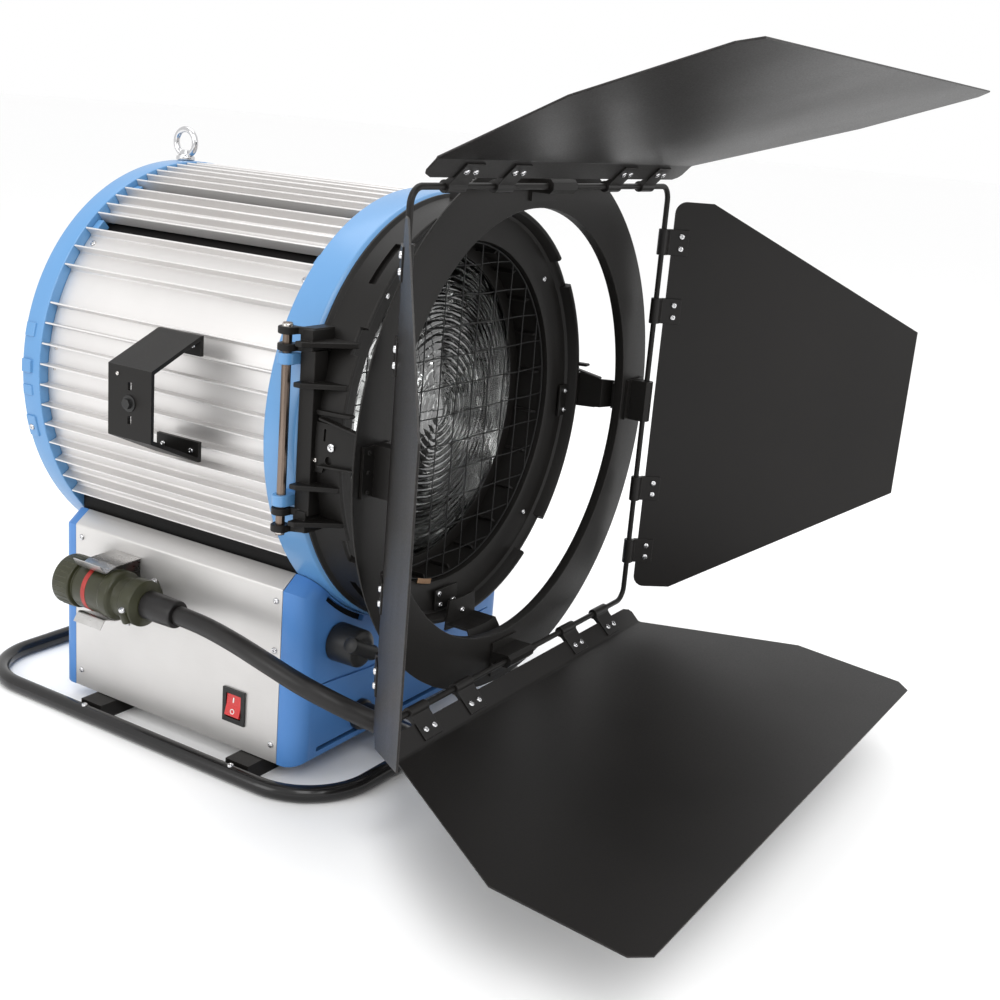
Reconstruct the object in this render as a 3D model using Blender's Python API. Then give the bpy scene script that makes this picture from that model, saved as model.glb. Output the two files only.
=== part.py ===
"""Fresnel spotlight head with a four-leaf barn door, standing on a tubular skid.

Units are metres, +Z is up and the beam leaves towards -Y.  The origin is the centre of the
base's underside, and the lens axis runs along Y at X = 0, LENS_Z above it.
"""
from math import asin, cos, pi, radians, sin

import bmesh
import bpy
from mathutils import Matrix, Vector

GAP = 0.0003            # clearance between pieces that touch
SHEET = 0.0015          # folded sheet metal
SEGMENTS = 48           # facets round the large turned pieces

# Lamp house: a drum of finned panels between two cast rings
LENS_Z = 0.321
RING_R = 0.205
BODY_HALF = 0.141
FRONT_RING_DEPTH = 0.039
REAR_RING_DEPTH = 0.029
REAR_RING_R = 0.203
RING_BORE_R = 0.188
LINER_R = 0.180
FIN_ROOT_R = 0.1925
FIN_TIP_R = 0.2025
FIN_WIDTH = 0.0018
SIDE_FIN_ANGLES = [43.7, 37.6, 31.8] + [20.6 - 5.6 * i for i in range(10)] + [-35.8]
SHOULDER_FIN_ANGLES = [49.5 + 3.9 * i for i in range(4)]
TOP_FIN_ANGLES = [66.0 + 4.0 * i for i in range(13)]

# Base under the drum, holding the ignitor
BASE_HALF_W = 0.170
BASE_TOP_HALF_W = 0.153
BASE_FOLD_Z = 0.171
BASE_TOP_Z = 0.184
BASE_FRONT_Y = -0.166
BASE_REAR_Y = 0.147
BASE_CAST_REAR = 0.018

# Skid frame
TUBE_R = 0.0080
FLOOR_Z = -0.0165
SKID_HALF_W = 0.1985
SKID_FRONT_Y = -0.2145
SKID_REAR_Y = 0.2545
SKID_CORNER_R = 0.070
CROSSBAR_YS = {"front": -0.111, "rear": 0.084}
CROSSBAR_W = 0.028

# Lens door on its upright hinge rod
DOOR_BACK_Y = -0.1805
DOOR_RIM_Y = -0.221
DOOR_R = 0.200
DOOR_BORE_R = 0.163
LENS_R = 0.166
LENS_SEAT_Y = -0.1630
LENS_DOME_R = 0.1615
LENS_RISE = 0.016
HINGE_X = -0.214
HINGE_Y = -0.172
ROD_R = 0.0040
EAR_HALF_ANGLE = 7.0
EAR_R = 0.2004
LOW_EAR_R = 0.2000
EAR_REAR_Y = -0.1965

# Barn doors: a turning ring, a square wire frame and four leaves
BARN_FACE_Y = -0.273
BARN_R = 0.2486
BARN_BORE_R = 0.1995
WIRE_Y = -0.290
WIRE_HALF = 0.220
WIRE_R = 0.00275
WIRE_CORNER_R = 0.014
CLIP_W = 0.026
CLIP_BORE_R = 0.0035
LEAF_T = 0.0015
LEAF_EDGE = 0.0105      # wire centre to the leaf's near edge
TALL_LEAF = dict(half_in=0.220, s_widest=0.150, depth=0.277, chamfer=0.014, flange=0.0315)
SIDE_LEAF = dict(half_z=0.206, s_straight=0.040, depth=0.280, corner=0.012, offset=0.0030)
LEFT_HALF_OUT, RIGHT_HALF_OUT = 0.102, 0.089
LEFT_DROP, RIGHT_DROP = 0.006, 0.0
TOP_RISE, TOP_FOLD, TOP_HALF_OUT = 18.9, 27.0, 0.287
BOTTOM_RISE, BOTTOM_FOLD, BOTTOM_HALF_OUT = -4.5, 39.0, 0.312
LEFT_OPEN, RIGHT_OPEN = 51.0, 40.6

# Inside the drum
RAIL_X, RAIL_Z, RAIL_R = 0.050, 0.208, 0.004
CARRIAGE_Y = 0.010
SPINDLE_X, SPINDLE_Z, SPINDLE_R = -0.120, 0.116, 0.004

# Side furniture
SWITCH_Y, SWITCH_Z = -0.088, 0.0425
PLUG_X, PLUG_Z = -0.2005, 0.130
PLUG_FRONT_Y, PLUG_REAR_Y = -0.043, 0.102
CABLE_R = 0.009
GLAND_X, GLAND_Z = -0.080, 0.029
CABLE_ROUTE = [
    (-0.2005, -0.0443, 0.1300), (-0.2030, -0.0810, 0.1293), (-0.2080, -0.1210, 0.1265),
    (-0.2120, -0.1600, 0.1210), (-0.2110, -0.1980, 0.1120), (-0.2020, -0.2310, 0.1010),
    (-0.1840, -0.2560, 0.0870), (-0.1560, -0.2680, 0.0690), (-0.1240, -0.2640, 0.0500),
    (-0.0970, -0.2430, 0.0360), (-0.0830, -0.2150, 0.0300), (-0.0800, -0.1880, 0.0290),
]
BRACKET_Y, BRACKET_Z = -0.044, 0.338
EYEBOLT_Y = 0.1575


# ---------------------------------------------------------------- materials

def material(name, colour, roughness, metallic=0.0, transmission=0.0):
    mat = bpy.data.materials.new(name)
    mat.use_nodes = True
    shader = mat.node_tree.nodes["Principled BSDF"]
    shader.inputs["Base Color"].default_value = (*colour, 1.0)
    shader.inputs["Roughness"].default_value = roughness
    shader.inputs["Metallic"].default_value = metallic
    shader.inputs["Transmission Weight"].default_value = transmission
    mat.diffuse_color = (*colour, 1.0)
    return mat


FINISHES = {
    "blue": ((0.13, 0.33, 0.72), 0.35, 0.0),
    "silver": ((0.80, 0.80, 0.82), 0.35, 0.9),
    "steel": ((0.62, 0.62, 0.64), 0.30, 1.0),
    "chrome": ((0.85, 0.85, 0.87), 0.08, 1.0),
    "black": ((0.030, 0.028, 0.027), 0.50, 0.0),
    "soot": ((0.015, 0.015, 0.015), 0.70, 0.0),
    "olive": ((0.085, 0.095, 0.055), 0.45, 0.0),
    "rubber": ((0.020, 0.020, 0.021), 0.65, 0.0),
    "red": ((0.62, 0.02, 0.02), 0.25, 0.0),
    "ceramic": ((0.80, 0.78, 0.72), 0.55, 0.0),
}


def finish(obj, kind):
    if kind == "glass":
        mat = material(obj.name, (0.90, 0.93, 0.92), 0.03, 0.0, 1.0)
    else:
        mat = material(obj.name, *FINISHES[kind])
    obj.data.materials.clear()
    obj.data.materials.append(mat)


# ---------------------------------------------------------------- shape helpers

def link(name, bm):
    bmesh.ops.recalc_face_normals(bm, faces=bm.faces)
    mesh = bpy.data.meshes.new(name)
    bm.to_mesh(mesh)
    bm.free()
    obj = bpy.data.objects.new(name, mesh)
    bpy.context.scene.collection.objects.link(obj)
    return obj


def fill_between(bm, loops, closed):
    """Join consecutive vertex loops with quads; a closed set also joins the last to the first."""
    count = len(loops)
    for i in range(count if closed else count - 1):
        a, b = loops[i], loops[(i + 1) % count]
        for j in range(len(a)):
            k = (j + 1) % len(a)
            corners = []
            for vert in (a[j], a[k], b[k], b[j]):
                if vert not in corners:
                    corners.append(vert)
            if len(corners) > 2:
                bm.faces.new(corners)


def prism(name, outline, place, low, high):
    """Extrude a closed 2-D outline; place(u, v, w) gives the world point, w from low to high."""
    bm = bmesh.new()
    loops = [[bm.verts.new(place(u, v, w)) for u, v in outline] for w in (low, high)]
    fill_between(bm, loops, closed=False)
    bm.faces.new(loops[0])
    bm.faces.new(loops[1])
    return link(name, bm)


def along_y(u, v, w):
    return (u, w, v)


def along_x(u, v, w):
    return (w, u, v)


def along_z(u, v, w):
    return (u, v, w)


def box(name, low, high):
    outline = [(low[0], low[1]), (high[0], low[1]), (high[0], high[1]), (low[0], high[1])]
    return prism(name, outline, along_z, low[2], high[2])


def turned(name, profile, start=0.0, sweep=360.0, segments=SEGMENTS, centre=(0.0, LENS_Z)):
    """Turn a closed (radius, y) profile about the axis along Y through centre = (x, z)."""
    bm = bmesh.new()
    full = sweep >= 360.0
    on_axis = {}
    loops = []
    for i in range(segments if full else segments + 1):
        angle = radians(start + sweep * i / segments)
        loop = []
        for j, (r, y) in enumerate(profile):
            if r < 1e-6:
                if j not in on_axis:
                    on_axis[j] = bm.verts.new((centre[0], y, centre[1]))
                loop.append(on_axis[j])
            else:
                loop.append(bm.verts.new((centre[0] + r * cos(angle), y, centre[1] + r * sin(angle))))
        loops.append(loop)
    fill_between(bm, loops, closed=full)
    if not full:
        bm.faces.new(loops[0])
        bm.faces.new(loops[-1])
    return link(name, bm)


def rod(name, start, end, radius, sides=16):
    """A round bar between two points."""
    start, end = Vector(start), Vector(end)
    turn = (end - start).to_track_quat("Z", "Y").to_matrix()
    ring = [(radius * cos(2 * pi * i / sides), radius * sin(2 * pi * i / sides)) for i in range(sides)]
    bm = bmesh.new()
    loops = [[bm.verts.new(p + turn @ Vector((u, v, 0.0))) for u, v in ring] for p in (start, end)]
    fill_between(bm, loops, closed=False)
    bm.faces.new(loops[0])
    bm.faces.new(loops[1])
    return link(name, bm)


def tube(name, points, radius, cyclic, resolution):
    """A round bar bent along points."""
    curve = bpy.data.curves.new(name, "CURVE")
    curve.dimensions = "3D"
    curve.bevel_depth = radius
    curve.bevel_resolution = resolution
    curve.use_fill_caps = not cyclic
    spline = curve.splines.new("POLY")
    spline.points.add(len(points) - 1)
    for point, at in zip(spline.points, points):
        point.co = (*at, 1.0)
    spline.use_cyclic_u = cyclic
    obj = bpy.data.objects.new(name, curve)
    bpy.context.scene.collection.objects.link(obj)
    return obj


def combine(obj, other, operation):
    """Boolean other into obj, keep the result as obj's mesh and drop other."""
    modifier = obj.modifiers.new("cut", "BOOLEAN")
    modifier.operation = operation
    modifier.solver = "EXACT"
    modifier.object = other
    bpy.context.view_layer.update()
    evaluated = obj.evaluated_get(bpy.context.evaluated_depsgraph_get())
    mesh = bpy.data.meshes.new_from_object(evaluated)
    obj.modifiers.remove(modifier)
    obj.data = mesh
    bpy.data.objects.remove(other)
    return obj


def union(obj, *others):
    for other in others:
        combine(obj, other, "UNION")
    return obj


def cut(obj, *others):
    for other in others:
        combine(obj, other, "DIFFERENCE")
    return obj


def merge(name, pieces):
    """Put separate pieces in one object, to union or cut with in one step."""
    bm = bmesh.new()
    for piece in pieces:
        bm.from_mesh(piece.data)
        bpy.data.objects.remove(piece)
    return link(name, bm)


def smooth(obj, limit=30.0):
    obj.data.shade_smooth()
    obj.data.set_sharp_from_angle(angle=radians(limit))


def pivot(name, at, parent=None):
    """An empty on a joint's axis, which its moving pieces hang from."""
    empty = bpy.data.objects.new(name, None)
    bpy.context.scene.collection.objects.link(empty)
    empty.empty_display_size = 0.03
    place = Matrix.Translation(Vector(at))
    empty.matrix_basis = place if parent is None else parent["world"].inverted() @ place
    if parent is not None:
        empty.parent = parent["object"]
    return {"object": empty, "world": place}


def hang(joint, *pieces):
    """Parent pieces, modelled in world coordinates, to a joint's empty."""
    for piece in pieces:
        piece.parent = joint["object"]
        piece.matrix_parent_inverse = joint["world"].inverted()


def add(obj, kind, limit=30.0):
    finish(obj, kind)
    if obj.type == "MESH":
        smooth(obj, limit)
    return obj


def polar(radius, degrees):
    """The (x, z) point at an angle about the lens axis, from +X towards +Z."""
    return (radius * cos(radians(degrees)), LENS_Z + radius * sin(radians(degrees)))


def arc(radius, start, end, steps, centre=(0.0, 0.0)):
    points = []
    for i in range(steps + 1):
        angle = radians(start + (end - start) * i / steps)
        points.append((centre[0] + radius * cos(angle), centre[1] + radius * sin(angle)))
    return points


def rounded_loop(half_u, low_v, high_v, corner, steps):
    """The (u, v) points of a rounded rectangle, symmetric in u."""
    loop = []
    loop += arc(corner, 0, 90, steps, (half_u - corner, high_v - corner))
    loop += arc(corner, 90, 180, steps, (corner - half_u, high_v - corner))
    loop += arc(corner, 180, 270, steps, (corner - half_u, low_v + corner))
    loop += arc(corner, 270, 360, steps, (half_u - corner, low_v + corner))
    return loop


# ---------------------------------------------------------------- drum

def cast_rings():
    front_y = -BODY_HALF - FRONT_RING_DEPTH
    ring = turned("front_ring", [
        (RING_BORE_R, front_y), (RING_R - 0.002, front_y), (RING_R, front_y + 0.003),
        (RING_R, -BODY_HALF - GAP), (RING_BORE_R, -BODY_HALF - GAP),
    ])
    lugs = [box("lug", (HINGE_X - 0.008, HINGE_Y - 0.0075, LENS_Z + low),
                (-0.185, HINGE_Y + 0.0075, LENS_Z + low + 0.0095)) for low in (0.067, -0.0535)]
    union(ring, merge("lugs", lugs))
    boss = box("boss", (0.180, HINGE_Y - 0.0075, LENS_Z - 0.012), (0.222, HINGE_Y + 0.011, LENS_Z + 0.012))
    union(ring, boss)
    bores = [
        rod("bore", (HINGE_X, HINGE_Y, LENS_Z - 0.1), (HINGE_X, HINGE_Y, LENS_Z + 0.12), ROD_R + GAP),
        rod("bore", (0.213, -0.21, LENS_Z), (0.213, HINGE_Y + 0.006, LENS_Z), 0.0042),
    ]
    cut(ring, *bores)
    add(ring, "blue")
    rear = turned("rear_ring", [
        (RING_BORE_R, BODY_HALF + GAP), (REAR_RING_R, BODY_HALF + GAP),
        (REAR_RING_R, BODY_HALF + REAR_RING_DEPTH - 0.004),
        (REAR_RING_R - 0.004, BODY_HALF + REAR_RING_DEPTH), (RING_BORE_R, BODY_HALF + REAR_RING_DEPTH),
    ])
    cut(rear, rod("bore", (0, EYEBOLT_Y, LENS_Z + 0.15), (0, EYEBOLT_Y, LENS_Z + 0.25), 0.0043))
    add(rear, "blue")
    cover_r = RING_BORE_R - GAP
    add(turned("rear_cover", [
        (0.0, 0.176), (0.130, 0.176), (cover_r - 0.012, 0.166), (cover_r, 0.162), (cover_r, 0.1425),
        (cover_r - 0.003, 0.1425), (cover_r - 0.003, 0.160), (cover_r - 0.014, 0.163),
        (0.130, 0.173), (0.0, 0.173),
    ]), "blue")


def fin_panel(name, angles):
    """An extruded panel: a curved skin with a fin at each angle, the end ones being its edges."""
    ordered = sorted(angles)
    skin = 0.0022
    half = degrees_of(FIN_WIDTH / 2, FIN_TIP_R)
    outer = []
    for i, angle in enumerate(ordered):
        if i:
            previous = ordered[i - 1]
            steps = max(1, round((angle - previous) / 6.0))
            for j in range(1, steps):
                outer.append(polar(FIN_ROOT_R, previous + (angle - previous) * j / steps))
            outer.append(polar(FIN_ROOT_R, angle - half))
        outer.append(polar(FIN_TIP_R, angle - half))
        outer.append(polar(FIN_TIP_R, angle + half))
        if i < len(ordered) - 1:
            outer.append(polar(FIN_ROOT_R, angle + half))
    first, last = ordered[0] - half, ordered[-1] + half
    steps = max(2, round((last - first) / 6.0))
    inner = [polar(FIN_ROOT_R - skin, last - (last - first) * i / steps) for i in range(steps + 1)]
    panel = prism(name, outer + inner, along_y, -BODY_HALF + GAP, BODY_HALF - GAP)
    return add(panel, "silver", 20.0)


def degrees_of(length, radius):
    return length / radius * 180.0 / pi


def drum():
    cast_rings()
    fin_panel("right_fin_panel", SIDE_FIN_ANGLES)
    fin_panel("left_fin_panel", [180.0 - a for a in SIDE_FIN_ANGLES])
    fin_panel("right_shoulder_panel", SHOULDER_FIN_ANGLES)
    fin_panel("left_shoulder_panel", [180.0 - a for a in SHOULDER_FIN_ANGLES])
    fin_panel("top_fin_panel", TOP_FIN_ANGLES)
    liner = turned("inner_liner", [
        (LINER_R - SHEET, -BODY_HALF + GAP), (LINER_R, -BODY_HALF + GAP),
        (LINER_R, BODY_HALF - GAP), (LINER_R - SHEET, BODY_HALF - GAP),
    ])
    cut(liner, box("slot", (-0.102, -0.075, 0.10), (-0.078, 0.095, 0.22)))
    add(liner, "soot")
    eyebolt()


def eyebolt():
    ring_r, bar_r, z = 0.0130, 0.0032, LENS_Z + 0.221
    turns = [2 * pi * i / 20 for i in range(20)]
    points = [(0.0, EYEBOLT_Y + ring_r * sin(a), z + ring_r * cos(a)) for a in turns]
    curve = tube("ring", points, bar_r, True, 2)
    bpy.context.view_layer.update()
    mesh = bpy.data.meshes.new_from_object(curve.evaluated_get(bpy.context.evaluated_depsgraph_get()))
    bpy.data.objects.remove(curve)
    bolt = bpy.data.objects.new("eyebolt", mesh)
    bpy.context.scene.collection.objects.link(bolt)
    top = REAR_RING_R + LENS_Z + GAP
    union(bolt, rod("foot", (0, EYEBOLT_Y, top), (0, EYEBOLT_Y, top + 0.0045), 0.0095, 20))
    union(bolt, rod("shank", (0, EYEBOLT_Y, LENS_Z + 0.190), (0, EYEBOLT_Y, top + 0.002), 0.0038, 12))
    add(bolt, "chrome")


# ---------------------------------------------------------------- base

def base_outline():
    """The base's front outline in (x, z): straight sides, a chamfer and the arc under the ring."""
    reach = RING_R + 0.0006
    start = 180.0 + degrees_of(asin((LENS_Z - BASE_TOP_Z) / reach), 1.0)
    under = arc(reach, start, 540.0 - start, 14, (0.0, LENS_Z))
    right = [(BASE_HALF_W, BASE_FOLD_Z), (BASE_HALF_W, 0.0)]
    left = [(-BASE_HALF_W, 0.0), (-BASE_HALF_W, BASE_FOLD_Z)]
    return under + right + left


def base():
    front = prism("base_front", base_outline(), along_y, BASE_FRONT_Y, -BODY_HALF - GAP)
    cut(front, rod("bore", (SPINDLE_X, -0.2, SPINDLE_Z), (SPINDLE_X, -0.1, SPINDLE_Z), SPINDLE_R + 0.0005))
    cut(front, rod("bore", (GLAND_X, -0.2, GLAND_Z), (GLAND_X, -0.1, GLAND_Z), 0.0115))
    add(front, "blue")
    rear_low = BASE_REAR_Y - BASE_CAST_REAR
    rear = prism("base_rear", base_outline(), along_y, rear_low, BASE_REAR_Y)
    cut(rear, rod("socket", (SPINDLE_X, rear_low - 0.01, SPINDLE_Z), (SPINDLE_X, rear_low + 0.008, SPINDLE_Z),
                  SPINDLE_R + 0.0005))
    add(rear, "blue")
    for side, name in ((-1, "base_panel_left"), (1, "base_panel_right")):
        base_panel(name, side, rear_low - GAP)
    inner = BASE_HALF_W - SHEET - 2 * GAP
    front_end, rear_end = -BODY_HALF + GAP, rear_low - GAP
    pad_front, pad_rear = CROSSBAR_YS["front"] + 0.0150, CROSSBAR_YS["rear"] - 0.0150
    seat = 0.0004       # the plate is pressed up this far where the crossbars lie
    outline = [(front_end, seat), (pad_front, seat), (pad_front, 0.0), (pad_rear, 0.0), (pad_rear, seat),
               (rear_end, seat), (rear_end, 0.002), (front_end, 0.002)]
    add(prism("base_plate", outline, along_x, -inner, inner), "silver")
    ignitor = box("ignitor_box", (-0.050, -0.090, 0.002 + GAP), (0.120, 0.070, 0.062))
    add(ignitor, "steel")


def base_panel(name, side, rear_y):
    """A side panel with its folded top edge; the switch's cut-out is in the left one."""
    outline = [
        (side * BASE_HALF_W, GAP), (side * BASE_HALF_W, BASE_FOLD_Z), (side * BASE_TOP_HALF_W, BASE_TOP_Z),
        (side * (BASE_TOP_HALF_W - 0.0012), BASE_TOP_Z - 0.0014),
        (side * (BASE_HALF_W - SHEET), BASE_FOLD_Z - 0.0008), (side * (BASE_HALF_W - SHEET), GAP),
    ]
    panel = prism(name, outline, along_y, -BODY_HALF + GAP, rear_y)
    if side < 0:
        cut(panel, box("hole", (-0.18, SWITCH_Y - 0.0115, SWITCH_Z - 0.0145),
                       (-0.16, SWITCH_Y + 0.0115, SWITCH_Z + 0.0145)))
    add(panel, "silver")


def skid():
    loop = rounded_loop(SKID_HALF_W, SKID_FRONT_Y, SKID_REAR_Y, SKID_CORNER_R, 8)
    add(tube("skid_tube", [(u, v, FLOOR_Z + TUBE_R) for u, v in loop], TUBE_R, True, 4), "black")
    reach = SKID_HALF_W - TUBE_R - GAP
    for name, y in CROSSBAR_YS.items():
        low = (-reach, y - CROSSBAR_W / 2, FLOOR_Z)
        high = (reach, y + CROSSBAR_W / 2, -GAP)
        add(box("skid_crossbar_" + name, low, high), "black")


def side_brackets():
    """Flared channels that the stirrup bolts to, one each side."""
    out, root, half = 0.263, 0.2029, 0.0255
    sheet = 0.0035
    for side, name in ((-1, "side_bracket_left"), (1, "side_bracket_right")):
        outline = [
            (side * out, 0.031), (side * (root + sheet), 0.056), (side * root, 0.056), (side * root, 0.038),
            (side * (root + sheet), 0.038), (side * (root + sheet), 0.052), (side * (out - sheet), 0.0285),
        ]
        outline += [(x, -z) for x, z in reversed(outline)]
        channel = prism(name, [(x, BRACKET_Z + z) for x, z in outline], along_y, BRACKET_Y - half,
                        BRACKET_Y + half)
        holes = [
            rod("hole", (side * 0.25, BRACKET_Y, BRACKET_Z), (side * 0.28, BRACKET_Y, BRACKET_Z), 0.0055),
            box("slot", (side * 0.2655 - 0.008, BRACKET_Y - 0.0022, BRACKET_Z + 0.011),
                (side * 0.2655 + 0.008, BRACKET_Y + 0.0022, BRACKET_Z + 0.018)),
            box("slot", (side * 0.2655 - 0.008, BRACKET_Y - 0.0022, BRACKET_Z - 0.018),
                (side * 0.2655 + 0.008, BRACKET_Y + 0.0022, BRACKET_Z - 0.011)),
        ]
        cut(channel, *holes)
        add(channel, "black")


# ---------------------------------------------------------------- optics inside the drum

def optics():
    for side, name in ((-1, "carriage_rail_left"), (1, "carriage_rail_right")):
        x = side * RAIL_X
        add(rod(name, (x, -0.139, RAIL_Z), (x, 0.139, RAIL_Z), RAIL_R, 12), "steel")
    for name, low, high in (("rail_support_front", -0.128, -0.124), ("rail_support_rear", 0.124, 0.128)):
        support = prism(name, [(-0.075, 0.1605), (0.075, 0.1605), (0.062, 0.218), (-0.062, 0.218)],
                        along_y, low, high)
        holes = [rod("hole", (side * RAIL_X, low - 0.01, RAIL_Z), (side * RAIL_X, high + 0.01, RAIL_Z),
                     RAIL_R + GAP, 12) for side in (-1, 1)]
        add(cut(support, *holes), "steel")
    spindle()
    carriage()


def spindle():
    turning = pivot("focus_axis", (SPINDLE_X, BASE_FRONT_Y, SPINDLE_Z))
    shaft = rod("focus_spindle", (SPINDLE_X, BASE_FRONT_Y - 0.010, SPINDLE_Z), (SPINDLE_X, 0.135, SPINDLE_Z),
                SPINDLE_R, 12)
    knob = rod("focus_knob", (SPINDLE_X, BASE_FRONT_Y - 0.0008, SPINDLE_Z),
               (SPINDLE_X, BASE_FRONT_Y - 0.022, SPINDLE_Z), 0.0125, 20)
    wing = rod("wing", (SPINDLE_X - 0.022, BASE_FRONT_Y - 0.027, SPINDLE_Z + 0.011),
               (SPINDLE_X + 0.022, BASE_FRONT_Y - 0.027, SPINDLE_Z - 0.011), 0.0085, 12)
    union(knob, wing)
    cut(knob, rod("socket", (SPINDLE_X, BASE_FRONT_Y + 0.01, SPINDLE_Z),
                  (SPINDLE_X, BASE_FRONT_Y - 0.0103, SPINDLE_Z), SPINDLE_R + GAP, 12))
    hang(turning, add(shaft, "steel"), add(knob, "black"))


def carriage():
    sliding = pivot("carriage_axis", (0.0, CARRIAGE_Y, RAIL_Z))
    y0, y1 = CARRIAGE_Y - 0.030, CARRIAGE_Y + 0.030
    block = box("lamp_carriage", (-0.066, y0, RAIL_Z - 0.011), (0.066, y1, RAIL_Z + 0.011))
    arm = box("arm", (-0.093, CARRIAGE_Y - 0.010, RAIL_Z - 0.006), (-0.060, CARRIAGE_Y + 0.010, RAIL_Z + 0.006))
    drop = box("drop", (-0.093, CARRIAGE_Y - 0.010, SPINDLE_Z - 0.009),
               (-0.087, CARRIAGE_Y + 0.010, RAIL_Z + 0.006))
    nut = box("nut", (SPINDLE_X - 0.010, CARRIAGE_Y - 0.010, SPINDLE_Z - 0.009),
              (-0.087, CARRIAGE_Y + 0.010, SPINDLE_Z + 0.009))
    union(block, arm, drop, nut)
    bores = [rod("bore", (x, -0.2, z), (x, 0.2, z), r, 12) for x, z, r in (
        (-RAIL_X, RAIL_Z, RAIL_R + 0.0006), (RAIL_X, RAIL_Z, RAIL_R + 0.0006),
        (SPINDLE_X, SPINDLE_Z, SPINDLE_R + 0.0006))]
    cut(block, *bores)
    top = RAIL_Z + 0.011 + GAP
    holder = box("lamp_holder", (-0.020, CARRIAGE_Y - 0.024, top), (0.020, CARRIAGE_Y + 0.012, top + 0.038))
    lamp_y = CARRIAGE_Y - 0.006
    profile = [(0.0, 0.0), (0.007, 0.0), (0.007, 0.018), (0.014, 0.030), (0.017, 0.052), (0.014, 0.074),
               (0.006, 0.086), (0.0, 0.090)]
    lamp = turned_up("lamp", profile, (0.0, lamp_y), top + 0.038 + GAP)
    bowl = [(0.0, 0.0), (0.030, -0.0045), (0.052, -0.015), (0.0515, -0.0165), (0.0297, -0.0062), (0.0, -0.0017)]
    back = CARRIAGE_Y + 0.028
    mirror = turned("reflector", [(r, back + y) for r, y in bowl], segments=32)
    union(mirror, box("stem", (-0.010, back - 0.0115, top), (0.010, back - 0.0095, LENS_Z - 0.040)))
    hang(sliding, add(block, "steel"), add(holder, "ceramic"), add(lamp, "glass"), add(mirror, "chrome"))


def turned_up(name, profile, centre, low, segments=24):
    """Turn a (radius, height) profile about an upright axis."""
    obj = turned(name, profile, segments=segments, centre=(0.0, 0.0))
    for vert in obj.data.vertices:
        x, y, z = vert.co
        vert.co = (centre[0] + x, centre[1] - z, low + y)
    return obj


# ---------------------------------------------------------------- switch, plug and cable

def switch():
    x = -BASE_HALF_W
    frame = box("switch_bezel", (x - 0.0022, SWITCH_Y - 0.0135, SWITCH_Z - 0.017),
                (x - GAP, SWITCH_Y + 0.0135, SWITCH_Z + 0.017))
    shell = box("shell", (x - 0.001, SWITCH_Y - 0.0110, SWITCH_Z - 0.0140),
                (x + 0.020, SWITCH_Y + 0.0110, SWITCH_Z + 0.0140))
    union(frame, shell)
    cut(frame, box("well", (x - 0.004, SWITCH_Y - 0.0092, SWITCH_Z - 0.0122),
                   (x + 0.012, SWITCH_Y + 0.0092, SWITCH_Z + 0.0122)))
    add(frame, "black")
    rocking = pivot("switch_axis", (x + 0.003, SWITCH_Y, SWITCH_Z))
    reach, tilt = 0.0119, radians(10.0)
    ends = [(-reach * sin(a), -reach * cos(a)) for a in (radians(-20), radians(5), radians(29))]
    outline = ends + [(-0.0047, 0.0)] + [(u, -v) for u, v in reversed(ends)]
    outline = [(x + 0.003 + u * cos(tilt) + v * sin(tilt), SWITCH_Z - u * sin(tilt) + v * cos(tilt))
               for u, v in outline]
    rocker = prism("rocker_switch", outline, along_y, SWITCH_Y - 0.0088, SWITCH_Y + 0.0088)
    hang(rocking, add(rocker, "red"))


def plug():
    """The tail's connector in its parking clip, the rubber boot, the tail and its gland."""
    front, rear = PLUG_FRONT_Y + 0.038, PLUG_REAR_Y
    profile = [
        (0.0, rear), (0.0225, rear), (0.0245, rear - 0.003), (0.0245, rear - 0.026), (0.0225, rear - 0.028),
        (0.0225, rear - 0.062), (0.0240, rear - 0.064), (0.0240, front + 0.040), (0.0190, front + 0.030),
        (0.0190, front + 0.018), (0.0225, front + 0.016), (0.0225, front + 0.004), (0.0140, front),
        (0.0, front),
    ]
    body = turned("cable_connector", profile, segments=24, centre=(PLUG_X, PLUG_Z))
    add(body, "olive")
    boot = turned("cable_boot", [
        (0.0, front - GAP), (0.0135, front - GAP), (0.0125, PLUG_FRONT_Y), (0.0, PLUG_FRONT_Y),
    ], segments=16, centre=(PLUG_X, PLUG_Z))
    add(boot, "rubber")
    parking_clip()
    points = smooth_route(CABLE_ROUTE, 34)
    add(tube("tail_cable", points, CABLE_R, False, 2), "rubber")
    gland = rod("cable_gland", (GLAND_X, -0.1862, GLAND_Z), (GLAND_X, BASE_FRONT_Y - GAP, GLAND_Z), 0.0145, 16)
    union(gland, rod("thread", (GLAND_X, -0.170, GLAND_Z), (GLAND_X, -0.136, GLAND_Z), 0.0110, 16))
    add(gland, "rubber")


def parking_clip():
    """A steel strap on the side panel whose two lips hold the connector's shell."""
    root = -BASE_HALF_W - GAP - PLUG_X
    half = [
        (root, 0.0275), (0.0, 0.0266), (-0.0118, 0.0236), (-0.0166, 0.0294), (-0.0178, 0.0286),
        (-0.0126, 0.0218), (0.0, 0.0252), (root - 0.0014, 0.0261),
    ]
    loop = [(PLUG_X + u, PLUG_Z + v) for u, v in half]
    loop += [(PLUG_X + u, PLUG_Z - v) for u, v in reversed(half)]
    clip = prism("parking_clip", loop, along_y, 0.037, 0.0735)
    add(clip, "steel")


def smooth_route(route, count):
    """Points at even parameter steps along a Catmull-Rom curve through the route."""
    knots = [Vector(p) for p in route]
    ends = [2 * knots[0] - knots[1]] + knots + [2 * knots[-1] - knots[-2]]
    spans = len(knots) - 1
    points = []
    for i in range(count):
        at = spans * i / (count - 1)
        k = min(int(at), spans - 1)
        t = at - k
        a, b, c, d = ends[k:k + 4]
        points.append(0.5 * ((2 * b) + (c - a) * t + (2 * a - 5 * b + 4 * c - d) * t ** 2
                             + (3 * b - a - 3 * c + d) * t ** 3))
    return points


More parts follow.
